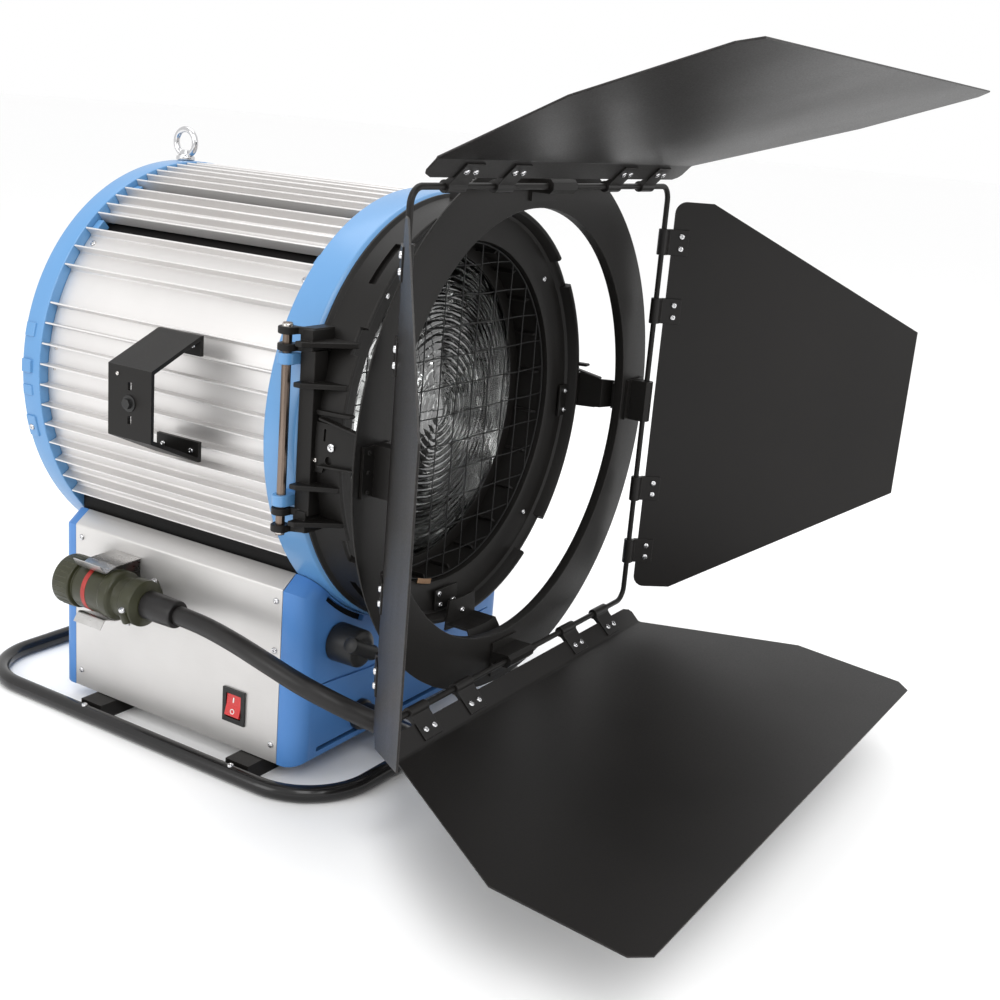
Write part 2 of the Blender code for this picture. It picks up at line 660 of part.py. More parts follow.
# ---------------------------------------------------------------- lens door

def ear_profile(radius=EAR_R, rear=EAR_REAR_Y):
    """Channel that steps out and holds the barn doors' mounting lip, in (radius, y)."""
    lip = 0.2037
    return [
        (radius + 0.0022, rear), (radius + 0.0022, -0.2470), (0.2147, -0.2540), (0.2147, -0.2700),
        (lip, -0.2700), (lip, -0.2680), (0.2125, -0.2680), (0.2125, -0.2610), (lip, -0.2610),
        (lip, -0.2590), (0.2125, -0.2590), (0.2125, -0.2552), (radius, -0.2482), (radius, rear),
    ]


def ears():
    """Two ears on the outside of the door's rim and one that is screwed to its front edge."""
    centre = (0.0, LENS_Z)
    left = turned("left_ear", ear_profile(), 174.0, 12.0, 4, centre)
    right = turned("right_ear", ear_profile(), -7.0, 12.0, 4, centre)
    foot = DOOR_RIM_Y - GAP
    low_profile = ear_profile(LOW_EAR_R, foot)
    front = foot - 0.0022
    low_profile = [(0.2072, foot), (0.2072, front), (LOW_EAR_R + 0.0022, front)] + low_profile[1:-1]
    low_profile += [(LOW_EAR_R, front), (0.1780, front), (0.1780, foot)]
    low = turned("bottom_ear", low_profile, -90.0 - EAR_HALF_ANGLE, 2 * EAR_HALF_ANGLE, 4, centre)
    return [add(ear, "black") for ear in (left, right, low)]


def lens_door():
    swing = pivot("door_axis", (HINGE_X, HINGE_Y, LENS_Z))
    door = turned("lens_door", [
        (0.2035, DOOR_BACK_Y), (DOOR_R, DOOR_BACK_Y - 0.0045), (DOOR_R, DOOR_RIM_Y), (0.1955, DOOR_RIM_Y),
        (0.1840, -0.2080), (0.1665, -0.2040), (DOOR_BORE_R, -0.2010), (DOOR_BORE_R, LENS_SEAT_Y),
        (LENS_R + 0.0015, LENS_SEAT_Y), (LENS_R + 0.0015, -0.1470), (0.1780, -0.1470),
        (0.1780, DOOR_BACK_Y),
    ])
    arms = []
    for low, high in ((0.078, 0.098), (-0.076, -0.055)):
        z0, z1 = LENS_Z + low, LENS_Z + high
        arms.append(box("knuckle", (HINGE_X - 0.008, HINGE_Y - 0.012, z0), (HINGE_X + 0.008, HINGE_Y + 0.008, z1)))
        arms.append(box("arm", (HINGE_X - 0.008, -0.194, z0), (-0.165, DOOR_BACK_Y, z1)))
    plate = box("plate", (HINGE_X + 0.007, -0.196, LENS_Z - 0.060), (-0.192, DOOR_BACK_Y, LENS_Z + 0.080))
    union(door, *arms, plate)
    lug = box("lug", (0.185, -0.192, LENS_Z - 0.012), (0.222, DOOR_BACK_Y, LENS_Z + 0.012))
    union(door, lug)
    cut(door, rod("bore", (HINGE_X, HINGE_Y, LENS_Z - 0.1), (HINGE_X, HINGE_Y, LENS_Z + 0.12), ROD_R + GAP))
    cut(door, rod("bore", (0.213, -0.21, LENS_Z), (0.213, -0.17, LENS_Z), 0.0034))
    add(door, "black")
    hinge_rod = rod("hinge_rod", (HINGE_X, HINGE_Y, LENS_Z - 0.079), (HINGE_X, HINGE_Y, LENS_Z + 0.101), ROD_R, 12)
    add(hinge_rod, "steel")
    front, steps = LENS_SEAT_Y + GAP, 6
    dome = [(LENS_DOME_R * (1 - i / steps), front - LENS_RISE * (1 - (1 - i / steps) ** 2))
            for i in range(steps + 1)]
    back = [(0.0, front - LENS_RISE + 0.007), (LENS_R, front + 0.006)]
    lens = turned("fresnel_lens", [(LENS_R, front)] + dome + back)
    add(lens, "glass")
    keeper = turned("lens_retainer", [
        (0.1530, front + 0.0063), (0.1530, front + 0.0083), (LENS_R, front + 0.0083), (LENS_R, front + 0.0063),
    ])
    add(keeper, "steel")
    hang(swing, door, lens, keeper, guard(), *ears())
    top_catch(swing)
    door_screw(swing)
    return swing


def guard():
    """A flat square mesh across the door's bore."""
    radius, pitch, bar = DOOR_BORE_R - 0.0006, 0.028, 0.0022
    disc = turned("wire_guard", [(0.0, -0.1985), (radius, -0.1985), (radius, -0.1967), (0.0, -0.1967)])
    cells = []
    reach = int(radius / pitch) + 1
    half = (pitch - bar) / 2
    for i in range(-reach, reach + 1):
        for j in range(-reach, reach + 1):
            x, z = i * pitch, j * pitch
            if (abs(x) + half) ** 2 + (abs(z) + half) ** 2 > (radius - 0.004) ** 2:
                continue
            cells.append(box("cell", (x - half, -0.21, LENS_Z + z - half), (x + half, -0.19, LENS_Z + z + half)))
    cut(disc, merge("cells", cells))
    return add(disc, "steel")


def top_catch(swing):
    """The upper ear hinges outwards to let the barn doors out."""
    at_y, at_z = -0.1925, LENS_Z + 0.2142
    axis = pivot("catch_axis", (0.0, at_y, at_z), swing)
    catch = turned("top_catch", ear_profile(), 90.0 - EAR_HALF_ANGLE, 2 * EAR_HALF_ANGLE, 4, (0.0, LENS_Z))
    cut(catch, box("clear", (-0.05, -0.200, at_z - 0.02), (0.05, -0.18, at_z + 0.02)))
    arm = box("arm", (-0.010, -0.2075, at_z - 0.0036), (0.010, at_y + 0.0025, at_z + 0.0030))
    web = box("web", (-0.010, -0.2075, LENS_Z + EAR_R + 0.0008), (0.010, -0.2003, at_z + 0.0020))
    union(catch, arm, web)
    cut(catch, rod("bore", (-0.03, at_y, at_z), (0.03, at_y, at_z), 0.0018, 12))
    hang(axis, add(catch, "black"))
    mount = box("catch_mount", (-0.018, at_y - 0.005, LENS_Z + 0.198), (0.018, at_y + 0.005, at_z + 0.004))
    cut(mount, box("slot", (-0.0105, at_y - 0.02, at_z - 0.0055), (0.0105, at_y + 0.02, at_z + 0.02)))
    cut(mount, turned("under", [(0.0, -0.21), (DOOR_R + GAP, -0.21), (DOOR_R + GAP, -0.17), (0.0, -0.17)]))
    cut(mount, rod("bore", (-0.03, at_y, at_z), (0.03, at_y, at_z), 0.0018, 12))
    pin = rod("catch_pin", (-0.0195, at_y, at_z), (0.0195, at_y, at_z), 0.0015, 12)
    hang(swing, add(mount, "black"), add(pin, "steel"))


def door_screw(swing):
    """A captive quarter-turn screw that holds the door shut."""
    axis = pivot("screw_axis", (0.213, DOOR_RIM_Y, LENS_Z), swing)
    knob = rod("door_screw", (0.213, -0.1925, LENS_Z), (0.213, -0.2025, LENS_Z), 0.0080, 12)
    union(knob, rod("shank", (0.213, -0.170, LENS_Z), (0.213, -0.194, LENS_Z), 0.0028, 12))
    union(knob, box("wing", (0.2107, -0.214, LENS_Z - 0.0086), (0.2153, -0.2015, LENS_Z + 0.0086)))
    hang(axis, add(knob, "black"))


# ---------------------------------------------------------------- barn doors

def barn_ring(turn):
    face = BARN_FACE_Y
    ring = turned("barn_door_ring", [
        (BARN_R, face), (BARN_R, face + 0.002), (BARN_BORE_R + 0.002, face + 0.002),
        (BARN_BORE_R + 0.002, face + 0.008), (0.2100, face + 0.008), (0.2100, face + 0.010),
        (BARN_BORE_R, face + 0.010), (BARN_BORE_R, face),
    ])
    loop = rounded_loop(WIRE_HALF, LENS_Z - WIRE_HALF, LENS_Z + WIRE_HALF, WIRE_CORNER_R, 4)
    frame = tube("barn_door_frame", [(u, WIRE_Y, v) for u, v in loop], WIRE_R, True, 2)
    hang(turn, add(ring, "black"), add(frame, "black"))
    outline = [
        (0.2060, face - GAP), (0.2400, face - GAP), (0.2400, face - 0.0025), (0.2262, face - 0.0025),
        (0.2262, WIRE_Y - 0.003), (0.2225, WIRE_Y - 0.0062), (0.2175, WIRE_Y - 0.0062),
        (0.2138, WIRE_Y - 0.003), (0.2138, face - 0.0025), (0.2060, face - 0.0025),
    ]
    for name, quarter in (("right", 0), ("top", 1), ("left", 2), ("bottom", 3)):
        bracket = prism("frame_bracket_" + name, outline, along_z, -0.021, 0.021)
        bore = rod("bore", (WIRE_HALF, WIRE_Y, -0.05), (WIRE_HALF, WIRE_Y, 0.05), WIRE_R + GAP, 12)
        cut(bracket, bore)
        spin = Matrix.Translation((0, 0, LENS_Z)) @ Matrix.Rotation(-quarter * pi / 2, 4, "Y")
        bracket.data.transform(spin)
        hang(turn, add(bracket, "black"))


def clips(place, centres, reach, offset):
    """Folded clips round the wire: place(along, out, up) maps a leaf's own frame to the world.

    offset is how far the leaf's sheet lies from the plane through the wire.
    """
    made = []
    nose = [(out, up) for out, up in arc(0.0058, 40, 320, 6)]
    low, high = offset - 0.0023, offset + 0.0023
    outline = nose + [(0.0085, low), (reach, low), (reach, high), (0.0085, high)]
    for centre in centres:
        made.append(prism("clip", outline, lambda u, v, w: place(w, u, v), centre - CLIP_W / 2,
                          centre + CLIP_W / 2))
    return merge("clips", made)


def finish_leaf(leaf, place, span, offset=0.0):
    union(leaf, clips(place, (-0.165, -0.095, 0.095, 0.165), 0.0275, offset))
    bore = rod("bore", place(-span, 0.0, 0.0), place(span, 0.0, 0.0), CLIP_BORE_R, 10)
    cut(leaf, bore)
    return add(leaf, "black", 20.0)


def tall_leaf(name, turn, up, rise, fold, half_out):
    """Top or bottom leaf: a flange at the wire, a fold and a sheet that widens outwards.

    up is 1 for the top leaf and -1 for the bottom one; rise is the sheet's angle above level.
    """
    size = TALL_LEAF
    axis = Vector((0.0, WIRE_Y, LENS_Z + up * WIRE_HALF))
    sheet_angle, flange_angle = radians(rise), radians(rise + up * fold)
    out_f = Vector((0.0, -cos(flange_angle), sin(flange_angle)))
    out_s = Vector((0.0, -cos(sheet_angle), sin(sheet_angle)))
    up_f = Vector((0.0, sin(flange_angle), cos(flange_angle)))
    up_s = Vector((0.0, sin(sheet_angle), cos(sheet_angle)))
    mitre = (up_f + up_s) / (1.0 + up_f.dot(up_s))
    bend = axis + out_f * size["flange"]
    a, b, ch = size["half_in"], half_out, size["chamfer"]
    s1, s2 = size["s_widest"], size["depth"]
    sheet = [(-a, 0.0), (-b, s1), (-b, s2 - ch), (ch - b, s2), (b - ch, s2), (b, s2 - ch), (b, s1), (a, 0.0)]
    bm = bmesh.new()
    layers = []
    for t in (-LEAF_T / 2, LEAF_T / 2):
        near = [bm.verts.new(axis + out_f * LEAF_EDGE + up_f * t + Vector((x, 0, 0))) for x in (a - 0.012, 0.012 - a)]
        loop = []
        for x, s in sheet:
            lift = mitre * t if s == 0.0 else up_s * t
            loop.append(bm.verts.new(bend + out_s * s + lift + Vector((x, 0, 0))))
        bm.faces.new(loop)
        bm.faces.new([near[1], loop[0], loop[-1], near[0]])
        layers.append(loop + near)
    fill_between(bm, layers, closed=False)
    leaf = link(name, bm)

    def place(along, out, lift):
        return axis + Vector((along, 0, 0)) + out_f * out + up_f * lift

    finish_leaf(leaf, place, a - 0.02)
    hang(turn, leaf)


def side_leaf(name, turn, side, opened, half_out, drop):
    """Left or right leaf: a flat sheet that narrows outwards, opened degrees from straight ahead."""
    size = SIDE_LEAF
    angle = radians(opened)
    axis = Vector((side * WIRE_HALF, WIRE_Y, LENS_Z))
    out = Vector((side * sin(angle), -cos(angle), 0.0))
    across = Vector((side * cos(angle), sin(angle), 0.0))
    z1, z2, c, offset = size["half_z"], half_out, size["corner"], size["offset"]
    near, s1, s2 = LEAF_EDGE, LEAF_EDGE + size["s_straight"], LEAF_EDGE + size["depth"]
    half = [(near, z1 - c), (near + 0.3 * c, z1 - 0.3 * c), (near + c, z1), (s1, z1), (s2, z2)]
    outline = [(s, z - drop) for s, z in half + [(s, -z) for s, z in reversed(half)]]

    def place(along, outward, lift):
        return axis + Vector((0, 0, along)) + out * outward + across * lift

    leaf = prism(name, outline, lambda u, v, w: place(v, u, w), offset - LEAF_T / 2, offset + LEAF_T / 2)
    finish_leaf(leaf, place, z1 - 0.01, offset)
    hang(turn, leaf)


def barn_doors(swing):
    turn = pivot("barn_door_axis", (0.0, BARN_FACE_Y, LENS_Z), swing)
    barn_ring(turn)
    axes = {
        "top": (0.0, WIRE_Y, LENS_Z + WIRE_HALF), "bottom": (0.0, WIRE_Y, LENS_Z - WIRE_HALF),
        "left": (-WIRE_HALF, WIRE_Y, LENS_Z), "right": (WIRE_HALF, WIRE_Y, LENS_Z),
    }
    pivots = {name: pivot(name + "_leaf_axis", at, turn) for name, at in axes.items()}
    tall_leaf("top_leaf", pivots["top"], 1, TOP_RISE, TOP_FOLD, TOP_HALF_OUT)
    tall_leaf("bottom_leaf", pivots["bottom"], -1, BOTTOM_RISE, BOTTOM_FOLD, BOTTOM_HALF_OUT)
    side_leaf("left_leaf", pivots["left"], -1, LEFT_OPEN, LEFT_HALF_OUT, LEFT_DROP)
    side_leaf("right_leaf", pivots["right"], 1, RIGHT_OPEN, RIGHT_HALF_OUT, RIGHT_DROP)


def main():
    for obj in list(bpy.data.objects):
        bpy.data.objects.remove(obj)
    drum()
    base()
    skid()
    side_brackets()
    optics()
    switch()
    plug()
    barn_doors(lens_door())


main()
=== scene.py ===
from math import acos, cos, degrees, pi, radians, sin, sqrt, tan

import bmesh
import bpy
from mathutils import Matrix, Vector


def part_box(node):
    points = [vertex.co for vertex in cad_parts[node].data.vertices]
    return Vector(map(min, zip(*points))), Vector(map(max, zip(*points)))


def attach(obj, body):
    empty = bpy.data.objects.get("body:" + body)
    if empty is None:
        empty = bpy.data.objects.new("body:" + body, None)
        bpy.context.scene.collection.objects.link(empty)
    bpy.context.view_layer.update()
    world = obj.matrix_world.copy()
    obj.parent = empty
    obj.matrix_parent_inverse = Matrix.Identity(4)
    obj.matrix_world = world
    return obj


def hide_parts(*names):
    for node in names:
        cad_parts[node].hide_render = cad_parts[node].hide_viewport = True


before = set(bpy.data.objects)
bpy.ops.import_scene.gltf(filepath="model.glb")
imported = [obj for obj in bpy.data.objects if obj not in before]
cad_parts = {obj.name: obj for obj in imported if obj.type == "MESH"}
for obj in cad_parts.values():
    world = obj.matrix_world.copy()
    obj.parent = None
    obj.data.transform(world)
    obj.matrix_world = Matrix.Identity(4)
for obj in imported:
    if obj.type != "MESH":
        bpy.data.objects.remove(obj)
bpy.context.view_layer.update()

# ---------------------------------------------------------------- sizes from the frame


def middle(node):
    low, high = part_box(node)
    return (Vector(low) + Vector(high)) / 2


def half_width(node):
    low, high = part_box(node)
    return (high[0] - low[0]) / 2


def y_range(node):
    low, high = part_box(node)
    return low[1], high[1]


GAP = 0.0003
LENS_Z = middle("fresnel_lens").z
LENS_R = half_width("fresnel_lens")
FRONT_RING_Y, FRONT_RING_BACK = y_range("front_ring")
REAR_RING_Y, REAR_RING_BACK = y_range("rear_ring")
REAR_RING_R = half_width("rear_ring")
RING_R = 0.205
RING_BORE_R = 0.188
PANEL_Y = y_range("left_fin_panel")
FIN_ROOT_R = 0.1925
FIN_TIP_R = 0.2025
LINER_R = half_width("inner_liner")
HINGE_X, HINGE_Y = middle("hinge_rod").x, middle("hinge_rod").y
DOOR_R = 0.200
DOOR_BORE_R = 0.163
DOOR_BACK_Y = -0.1805
DOOR_RIM_Y = -0.221
LENS_SEAT_Y = -0.163
GUARD_Y = middle("wire_guard").y
GUARD_R = half_width("wire_guard")
BASE_HALF_W = half_width("base_front")
BASE_FOLD_Z = 0.171
BASE_TOP_Z = 0.184
BASE_TOP_HALF_W = 0.153
SWITCH = middle("switch_bezel")
PLUG = middle("cable_boot")
PLUG_REAR_Y = y_range("cable_connector")[1]
GLAND = middle("cable_gland")
CABLE_R = 0.009
CABLE_ROUTE = [
    (-0.2005, -0.0443, 0.1300), (-0.2030, -0.0810, 0.1293), (-0.2080, -0.1210, 0.1265),
    (-0.2120, -0.1600, 0.1210), (-0.2110, -0.1980, 0.1120), (-0.2020, -0.2310, 0.1010),
    (-0.1840, -0.2560, 0.0870), (-0.1560, -0.2680, 0.0690), (-0.1240, -0.2640, 0.0500),
    (-0.0970, -0.2430, 0.0360), (-0.0830, -0.2150, 0.0300), (-0.0800, -0.1880, 0.0290),
]
WIRE_Y = middle("barn_door_frame").y
WIRE_HALF = 0.220
WIRE_R = 0.00275
FLOOR_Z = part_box("skid_tube")[0][2]


# ---------------------------------------------------------------- materials

class Surface:
    """Builds one procedural material: a principled shader with grain, patches and wear."""

    def __init__(self, name):
        self.material = bpy.data.materials.new("finish_" + name)
        self.material.use_nodes = True
        self.tree = self.material.node_tree
        self.shader = self.tree.nodes["Principled BSDF"]
        self.place = self.add("TexCoord").outputs["Object"]

    def add(self, kind, sockets=(), **settings):
        """A new node with its settings, its sockets fed by values or by other nodes' outputs."""
        node = self.tree.nodes.new("ShaderNode" + kind)
        for key, value in settings.items():
            setattr(node, key, value)
        for key, value in dict(sockets).items():
            self.feed(node.inputs[key], value)
        return node

    def feed(self, socket, value):
        if isinstance(value, bpy.types.NodeSocket):
            self.tree.links.new(value, socket)
        else:
            socket.default_value = value

    def set(self, **values):
        for key, value in values.items():
            self.feed(self.shader.inputs[key.replace("_", " ")], value)

    def noise(self, scale, detail=3.0, roughness=0.55):
        """Noise with its own scale along each axis, in features per metre."""
        scale = scale if isinstance(scale, tuple) else (scale,) * 3
        mapping = self.add("Mapping", {"Scale": scale, "Vector": self.place}).outputs["Vector"]
        sockets = {"Vector": mapping, "Scale": 1.0, "Detail": detail, "Roughness": roughness}
        return self.add("TexNoise", sockets).outputs["Fac"]

    def range(self, value, low, high, to_low, to_high):
        sockets = {"Value": value, "From Min": low, "From Max": high, "To Min": to_low, "To Max": to_high}
        return self.add("MapRange", sockets, clamp=True).outputs["Result"]

    def mix(self, factor, *colours):
        first, second = [(*c, 1.0) if isinstance(c, tuple) else c for c in colours]
        return self.add("Mix", {"Factor": factor, 6: first, 7: second}, data_type="RGBA").outputs[2]

    def math(self, operation, first, second):
        return self.add("Math", {0: first, 1: second}, operation=operation).outputs[0]

    def edges(self):
        """Rises towards 1 close to an edge."""
        bevel = self.add("Bevel", {"Radius": 0.0009}, samples=4).outputs["Normal"]
        facing = {0: bevel, 1: self.add("NewGeometry").outputs["Normal"]}
        facing = self.add("VectorMath", facing, operation="DOT_PRODUCT")
        return self.range(facing.outputs["Value"], 0.90, 0.995, 1.0, 0.0)


def finish(name, colour, patch_colour, roughness, grain, relief, patch=9.0, worn=None, wear=0.5, **shader):
    """A finished surface: patches of colour, grain in gloss and relief, and worn convex edges.

    roughness is (lowest, highest), grain is the grain's features per metre and relief its depth.
    """
    s = Surface(name)
    patches = s.noise(patch, detail=4.0)
    fine = s.noise(grain)
    colours = s.mix(s.range(patches, 0.35, 0.65, 0.0, 1.0), colour, patch_colour)
    if worn:
        scratches = s.noise(420.0, detail=5.0, roughness=0.7)
        amount = s.math("MULTIPLY", s.edges(), s.range(scratches, 0.42, 0.62, 0.0, wear))
        colours = s.mix(amount, colours, worn)
    blend = s.math("ADD", s.math("MULTIPLY", fine, 0.55), s.math("MULTIPLY", patches, 0.45))
    bump = s.add("Bump", {"Strength": 0.6, "Distance": relief, "Height": fine})
    s.set(Base_Color=colours, Roughness=s.range(blend, 0.35, 0.65, *roughness),
          Normal=bump.outputs["Normal"], **shader)
    MATERIALS[name] = s.material


def glass(name):
    """Clear pressed glass with a slight waviness in its gloss."""
    s = Surface(name)
    ripple = s.noise(45.0, detail=1.0)
    s.set(Transmission_Weight=1.0, IOR=1.5, Base_Color=(0.36, 0.37, 0.36, 1.0), Coat_Weight=1.0,
          Coat_IOR=2.0, Coat_Roughness=0.01, Roughness=s.range(ripple, 0.3, 0.7, 0.0, 0.012))
    MATERIALS[name] = s.material


STREAKS_ALONG_Y = (1400.0, 9.0, 1400.0)
STREAKS_ALONG_Z = (900.0, 900.0, 14.0)
PEEL = 620.0


MATERIALS = {}
finish("blue_paint", (0.098, 0.257, 0.492), (0.090, 0.243, 0.474), (0.30, 0.40), PEEL, 0.00006,
       worn=(0.28, 0.46, 0.72), wear=0.35, Coat_Weight=0.25, Coat_Roughness=0.18)
# The base castings carry the rings' blue paint, painted darker and more saturated: painted shade for the
# base's faces turned from the light.
finish("blue_paint_shaded", (0.075, 0.215, 0.510), (0.069, 0.203, 0.488), (0.34, 0.44), PEEL, 0.00006,
       worn=(0.24, 0.42, 0.74), wear=0.35, Specular_IOR_Level=0.32)
finish("silver_panel", (0.70, 0.685, 0.675), (0.66, 0.645, 0.635), (0.36, 0.50), STREAKS_ALONG_Y, 0.00003,
       worn=(0.93, 0.93, 0.94), wear=0.6, Metallic=0.72)
finish("base_sheet", (0.61, 0.597, 0.585), (0.58, 0.567, 0.555), (0.36, 0.48), (30.0, 30.0, 1100.0), 0.00003,
       Metallic=0.72)
finish("black_liner", (0.006, 0.006, 0.006), (0.009, 0.008, 0.008), (0.55, 0.75), 800.0, 0.00006,
       Specular_IOR_Level=0.15)
finish("chrome", (0.62, 0.62, 0.63), (0.58, 0.58, 0.59), (0.07, 0.16), 300.0, 0.00001, Metallic=1.0)
finish("zinc_steel", (0.56, 0.55, 0.54), (0.46, 0.45, 0.44), (0.24, 0.38), (700.0, 30.0, 700.0), 0.00003,
       patch=60.0, Metallic=1.0)
finish("bright_steel", (0.56, 0.54, 0.52), (0.50, 0.47, 0.44), (0.16, 0.28), STREAKS_ALONG_Z, 0.00002,
       Metallic=1.0)
# Dark steel for the hinge rod; its brown tint is a painted reflection on the dark rod, not the rod's own
# colour.
finish("rod_steel_painted_reflection", (0.22, 0.17, 0.14), (0.16, 0.125, 0.10), (0.22, 0.36), STREAKS_ALONG_Z, 0.00002,
       Metallic=1.0)
finish("brass", (0.52, 0.33, 0.20), (0.42, 0.25, 0.15), (0.28, 0.42), 700.0, 0.00002, patch=90.0,
       Metallic=0.9)
finish("guard_wire", (0.012, 0.012, 0.012), (0.009, 0.009, 0.009), (0.34, 0.48), 900.0, 0.00003,
       Specular_IOR_Level=0.25)
finish("black_tube", (0.008, 0.008, 0.008), (0.011, 0.010, 0.010), (0.16, 0.28), PEEL, 0.00005,
       worn=(0.07, 0.07, 0.07), Specular_IOR_Level=0.30, Coat_Weight=0.20, Coat_Roughness=0.12)
finish("black_paint", (0.0075, 0.0068, 0.0063), (0.0100, 0.0091, 0.0083), (0.36, 0.50), 950.0, 0.00007,
       worn=(0.075, 0.070, 0.066), Specular_IOR_Level=0.19)
finish("leaf_paint", (0.0080, 0.0072, 0.0068), (0.0105, 0.0093, 0.0087), (0.34, 0.46), 700.0, 0.00005,
       patch=5.0, worn=(0.09, 0.083, 0.078), Specular_IOR_Level=0.22)
finish("black_plastic", (0.010, 0.010, 0.010), (0.013, 0.013, 0.013), (0.34, 0.46), 1500.0, 0.00006,
       worn=(0.04, 0.04, 0.04), Specular_IOR_Level=0.35)
finish("red_plastic", (0.56, 0.010, 0.010), (0.50, 0.009, 0.009), (0.20, 0.30), 900.0, 0.00002,
       patch=120.0, Coat_Weight=0.4, Coat_Roughness=0.12)
finish("olive_shell", (0.030, 0.031, 0.014), (0.024, 0.024, 0.011), (0.30, 0.44), 1300.0, 0.00006,
       patch=70.0, worn=(0.11, 0.11, 0.07), Specular_IOR_Level=0.35)
finish("red_band", (0.36, 0.022, 0.016), (0.28, 0.016, 0.012), (0.40, 0.55), 1300.0, 0.00004, patch=200.0)
finish("white_mark", (0.85, 0.85, 0.83), (0.80, 0.80, 0.78), (0.35, 0.45), 1300.0, 0.00002)
finish("black_rubber", (0.0100, 0.0092, 0.0092), (0.0135, 0.0125, 0.0120), (0.30, 0.44), 500.0,
       0.00008, patch=40.0, Specular_IOR_Level=0.30)
finish("ceramic", (0.78, 0.76, 0.70), (0.73, 0.70, 0.63), (0.30, 0.45), 900.0, 0.00004, patch=50.0)
finish("mirror", (0.88, 0.88, 0.88), (0.84, 0.84, 0.85), (0.05, 0.12), 60.0, 0.00005, Metallic=1.0)
glass("lens_glass")


# ---------------------------------------------------------------- mesh tools

def new_object(name, data):
    obj = bpy.data.objects.new(name, data)
    bpy.context.scene.collection.objects.link(obj)
    return obj


def plain(name, bm):
    """An object made of bm, still without a finish."""
    bmesh.ops.recalc_face_normals(bm, faces=bm.faces)
    mesh = bpy.data.meshes.new(name)
    bm.to_mesh(mesh)
    bm.free()
    return new_object(name, mesh)


def piece(name, bm, kind, body, replaces=(), angle=32.0, bevel=0.0):
    """Make an object of bm, give it its finish and let it ride on a body."""
    return dress(plain(name, bm), kind, body, replaces, angle, bevel)


def dress(obj, kind, body, replaces=(), angle=32.0, bevel=0.0):
    mesh = obj.data
    mesh.materials.clear()
    mesh.materials.append(MATERIALS[kind])
    for polygon in mesh.polygons:
        polygon.use_smooth = True
    mesh.set_sharp_from_angle(angle=radians(angle))
    if bevel:
        round_edges(obj, bevel)
    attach(obj, body)
    if replaces:
        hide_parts(*replaces)
    return obj


def round_edges(obj, width):
    bevel = obj.modifiers.new("rounded edges", "BEVEL")
    bevel.width = width
    bevel.segments = 2
    bevel.limit_method = "ANGLE"
    bevel.angle_limit = radians(38.0)
    bevel.harden_normals = True
    bevel.miter_outer = "MITER_ARC"


def fill_between(bm, loops, closed=False):
    """Join neighbouring loops of vertices with faces."""
    pairs = list(zip(loops, loops[1:]))
    if closed:
        pairs.append((loops[-1], loops[0]))
    for first, second in pairs:
        count = len(first)
        for i in range(count):
            j = (i + 1) % count
            corners = [first[i], first[j], second[j], second[i]]
            unique = [c for k, c in enumerate(corners) if c not in corners[:k]]
            if len(unique) > 2:
                try:
                    bm.faces.new(unique)
                except ValueError:
                    pass


def layered(bm, layers):
    """A closed solid through loops of points, capped at both ends."""
    loops = [[bm.verts.new(p) for p in layer] for layer in layers]
    fill_between(bm, loops)
    bm.faces.new(loops[0])
    bm.faces.new(loops[-1])
    return bm


def along_y(u, v, w):
    return (u, w, v)


def along_x(u, v, w):
    return (w, u, v)


def along_z(u, v, w):
    return (u, v, w)


def prism(outline, place, low, high, bm=None):
    bm = bm or bmesh.new()
    return layered(bm, [[Vector(place(u, v, w)) for u, v in outline] for w in (low, high)])


def band(inner, outer, low, high):
    """A square-cornered section, such as a ring's (radius, along)."""
    return [(inner, low), (outer, low), (outer, high), (inner, high)]


def block(low, high, bm=None):
    return prism(band(low[0], high[0], low[2], high[2]), along_y, low[1], high[1], bm)


def turned(profile, segments=160, start=0.0, sweep=360.0, centre=(0.0, LENS_Z), bm=None, axis=along_y):
    """Turn a closed (radius, along) profile about an axis through centre."""
    full = sweep >= 360.0
    count = segments if full else segments + 1
    sections = [(start + sweep * i / segments, profile) for i in range(count)]
    return turned_sections(sections, full, centre, bm, axis)


def turned_sections(sections, full, centre=(0.0, LENS_Z), bm=None, axis=along_y):
    """As turned, with a profile of its own at each angle."""
    bm = bm or bmesh.new()
    on_axis = {}
    loops = []
    for degree, profile in sections:
        c, s = cos(radians(degree)), sin(radians(degree))
        loop = []
        for j, (r, along) in enumerate(profile):
            point = axis(centre[0] + r * c, centre[1] + r * s, along)
            if r > 1e-7:
                loop.append(bm.verts.new(point))
            else:
                if j not in on_axis:
                    on_axis[j] = bm.verts.new(point)
                loop.append(on_axis[j])
        loops.append(loop)
    fill_between(bm, loops, closed=full)
    if not full:
        bm.faces.new(loops[0])
        bm.faces.new(loops[-1])
    return bm


def sweep(points, radius, closed=False, sides=20, bm=None):
    """A round bar along points; radius is a number or a function of the point's index."""
    bm = bm or bmesh.new()
    points = [Vector(p) for p in points]
    count = len(points)
    loops = []
    side = None
    for i, point in enumerate(points):
        if closed:
            ahead = points[(i + 1) % count] - points[i - 1]
        else:
            ahead = points[min(i + 1, count - 1)] - points[max(i - 1, 0)]
        ahead.normalize()
        if side is None:
            side = ahead.orthogonal().normalized()
        side = (side - ahead * side.dot(ahead)).normalized()
        other = ahead.cross(side)
        r = radius(i) if callable(radius) else radius
        turns = [2 * pi * k / sides for k in range(sides)]
        loops.append([bm.verts.new(point + side * (r * cos(t)) + other * (r * sin(t))) for t in turns])
    if closed:
        shift = min(range(sides), key=lambda k: (loops[-1][k].co - loops[0][0].co).length)
        loops[-1] = loops[-1][shift:] + loops[-1][:shift]
    fill_between(bm, loops, closed)
    if not closed:
        bm.faces.new(loops[0])
        bm.faces.new(loops[-1])
    return bm


def arc(radius, start, end, steps, centre=(0.0, 0.0)):
    turns = [radians(start + (end - start) * i / steps) for i in range(steps + 1)]
    return [(centre[0] + radius * cos(t), centre[1] + radius * sin(t)) for t in turns]


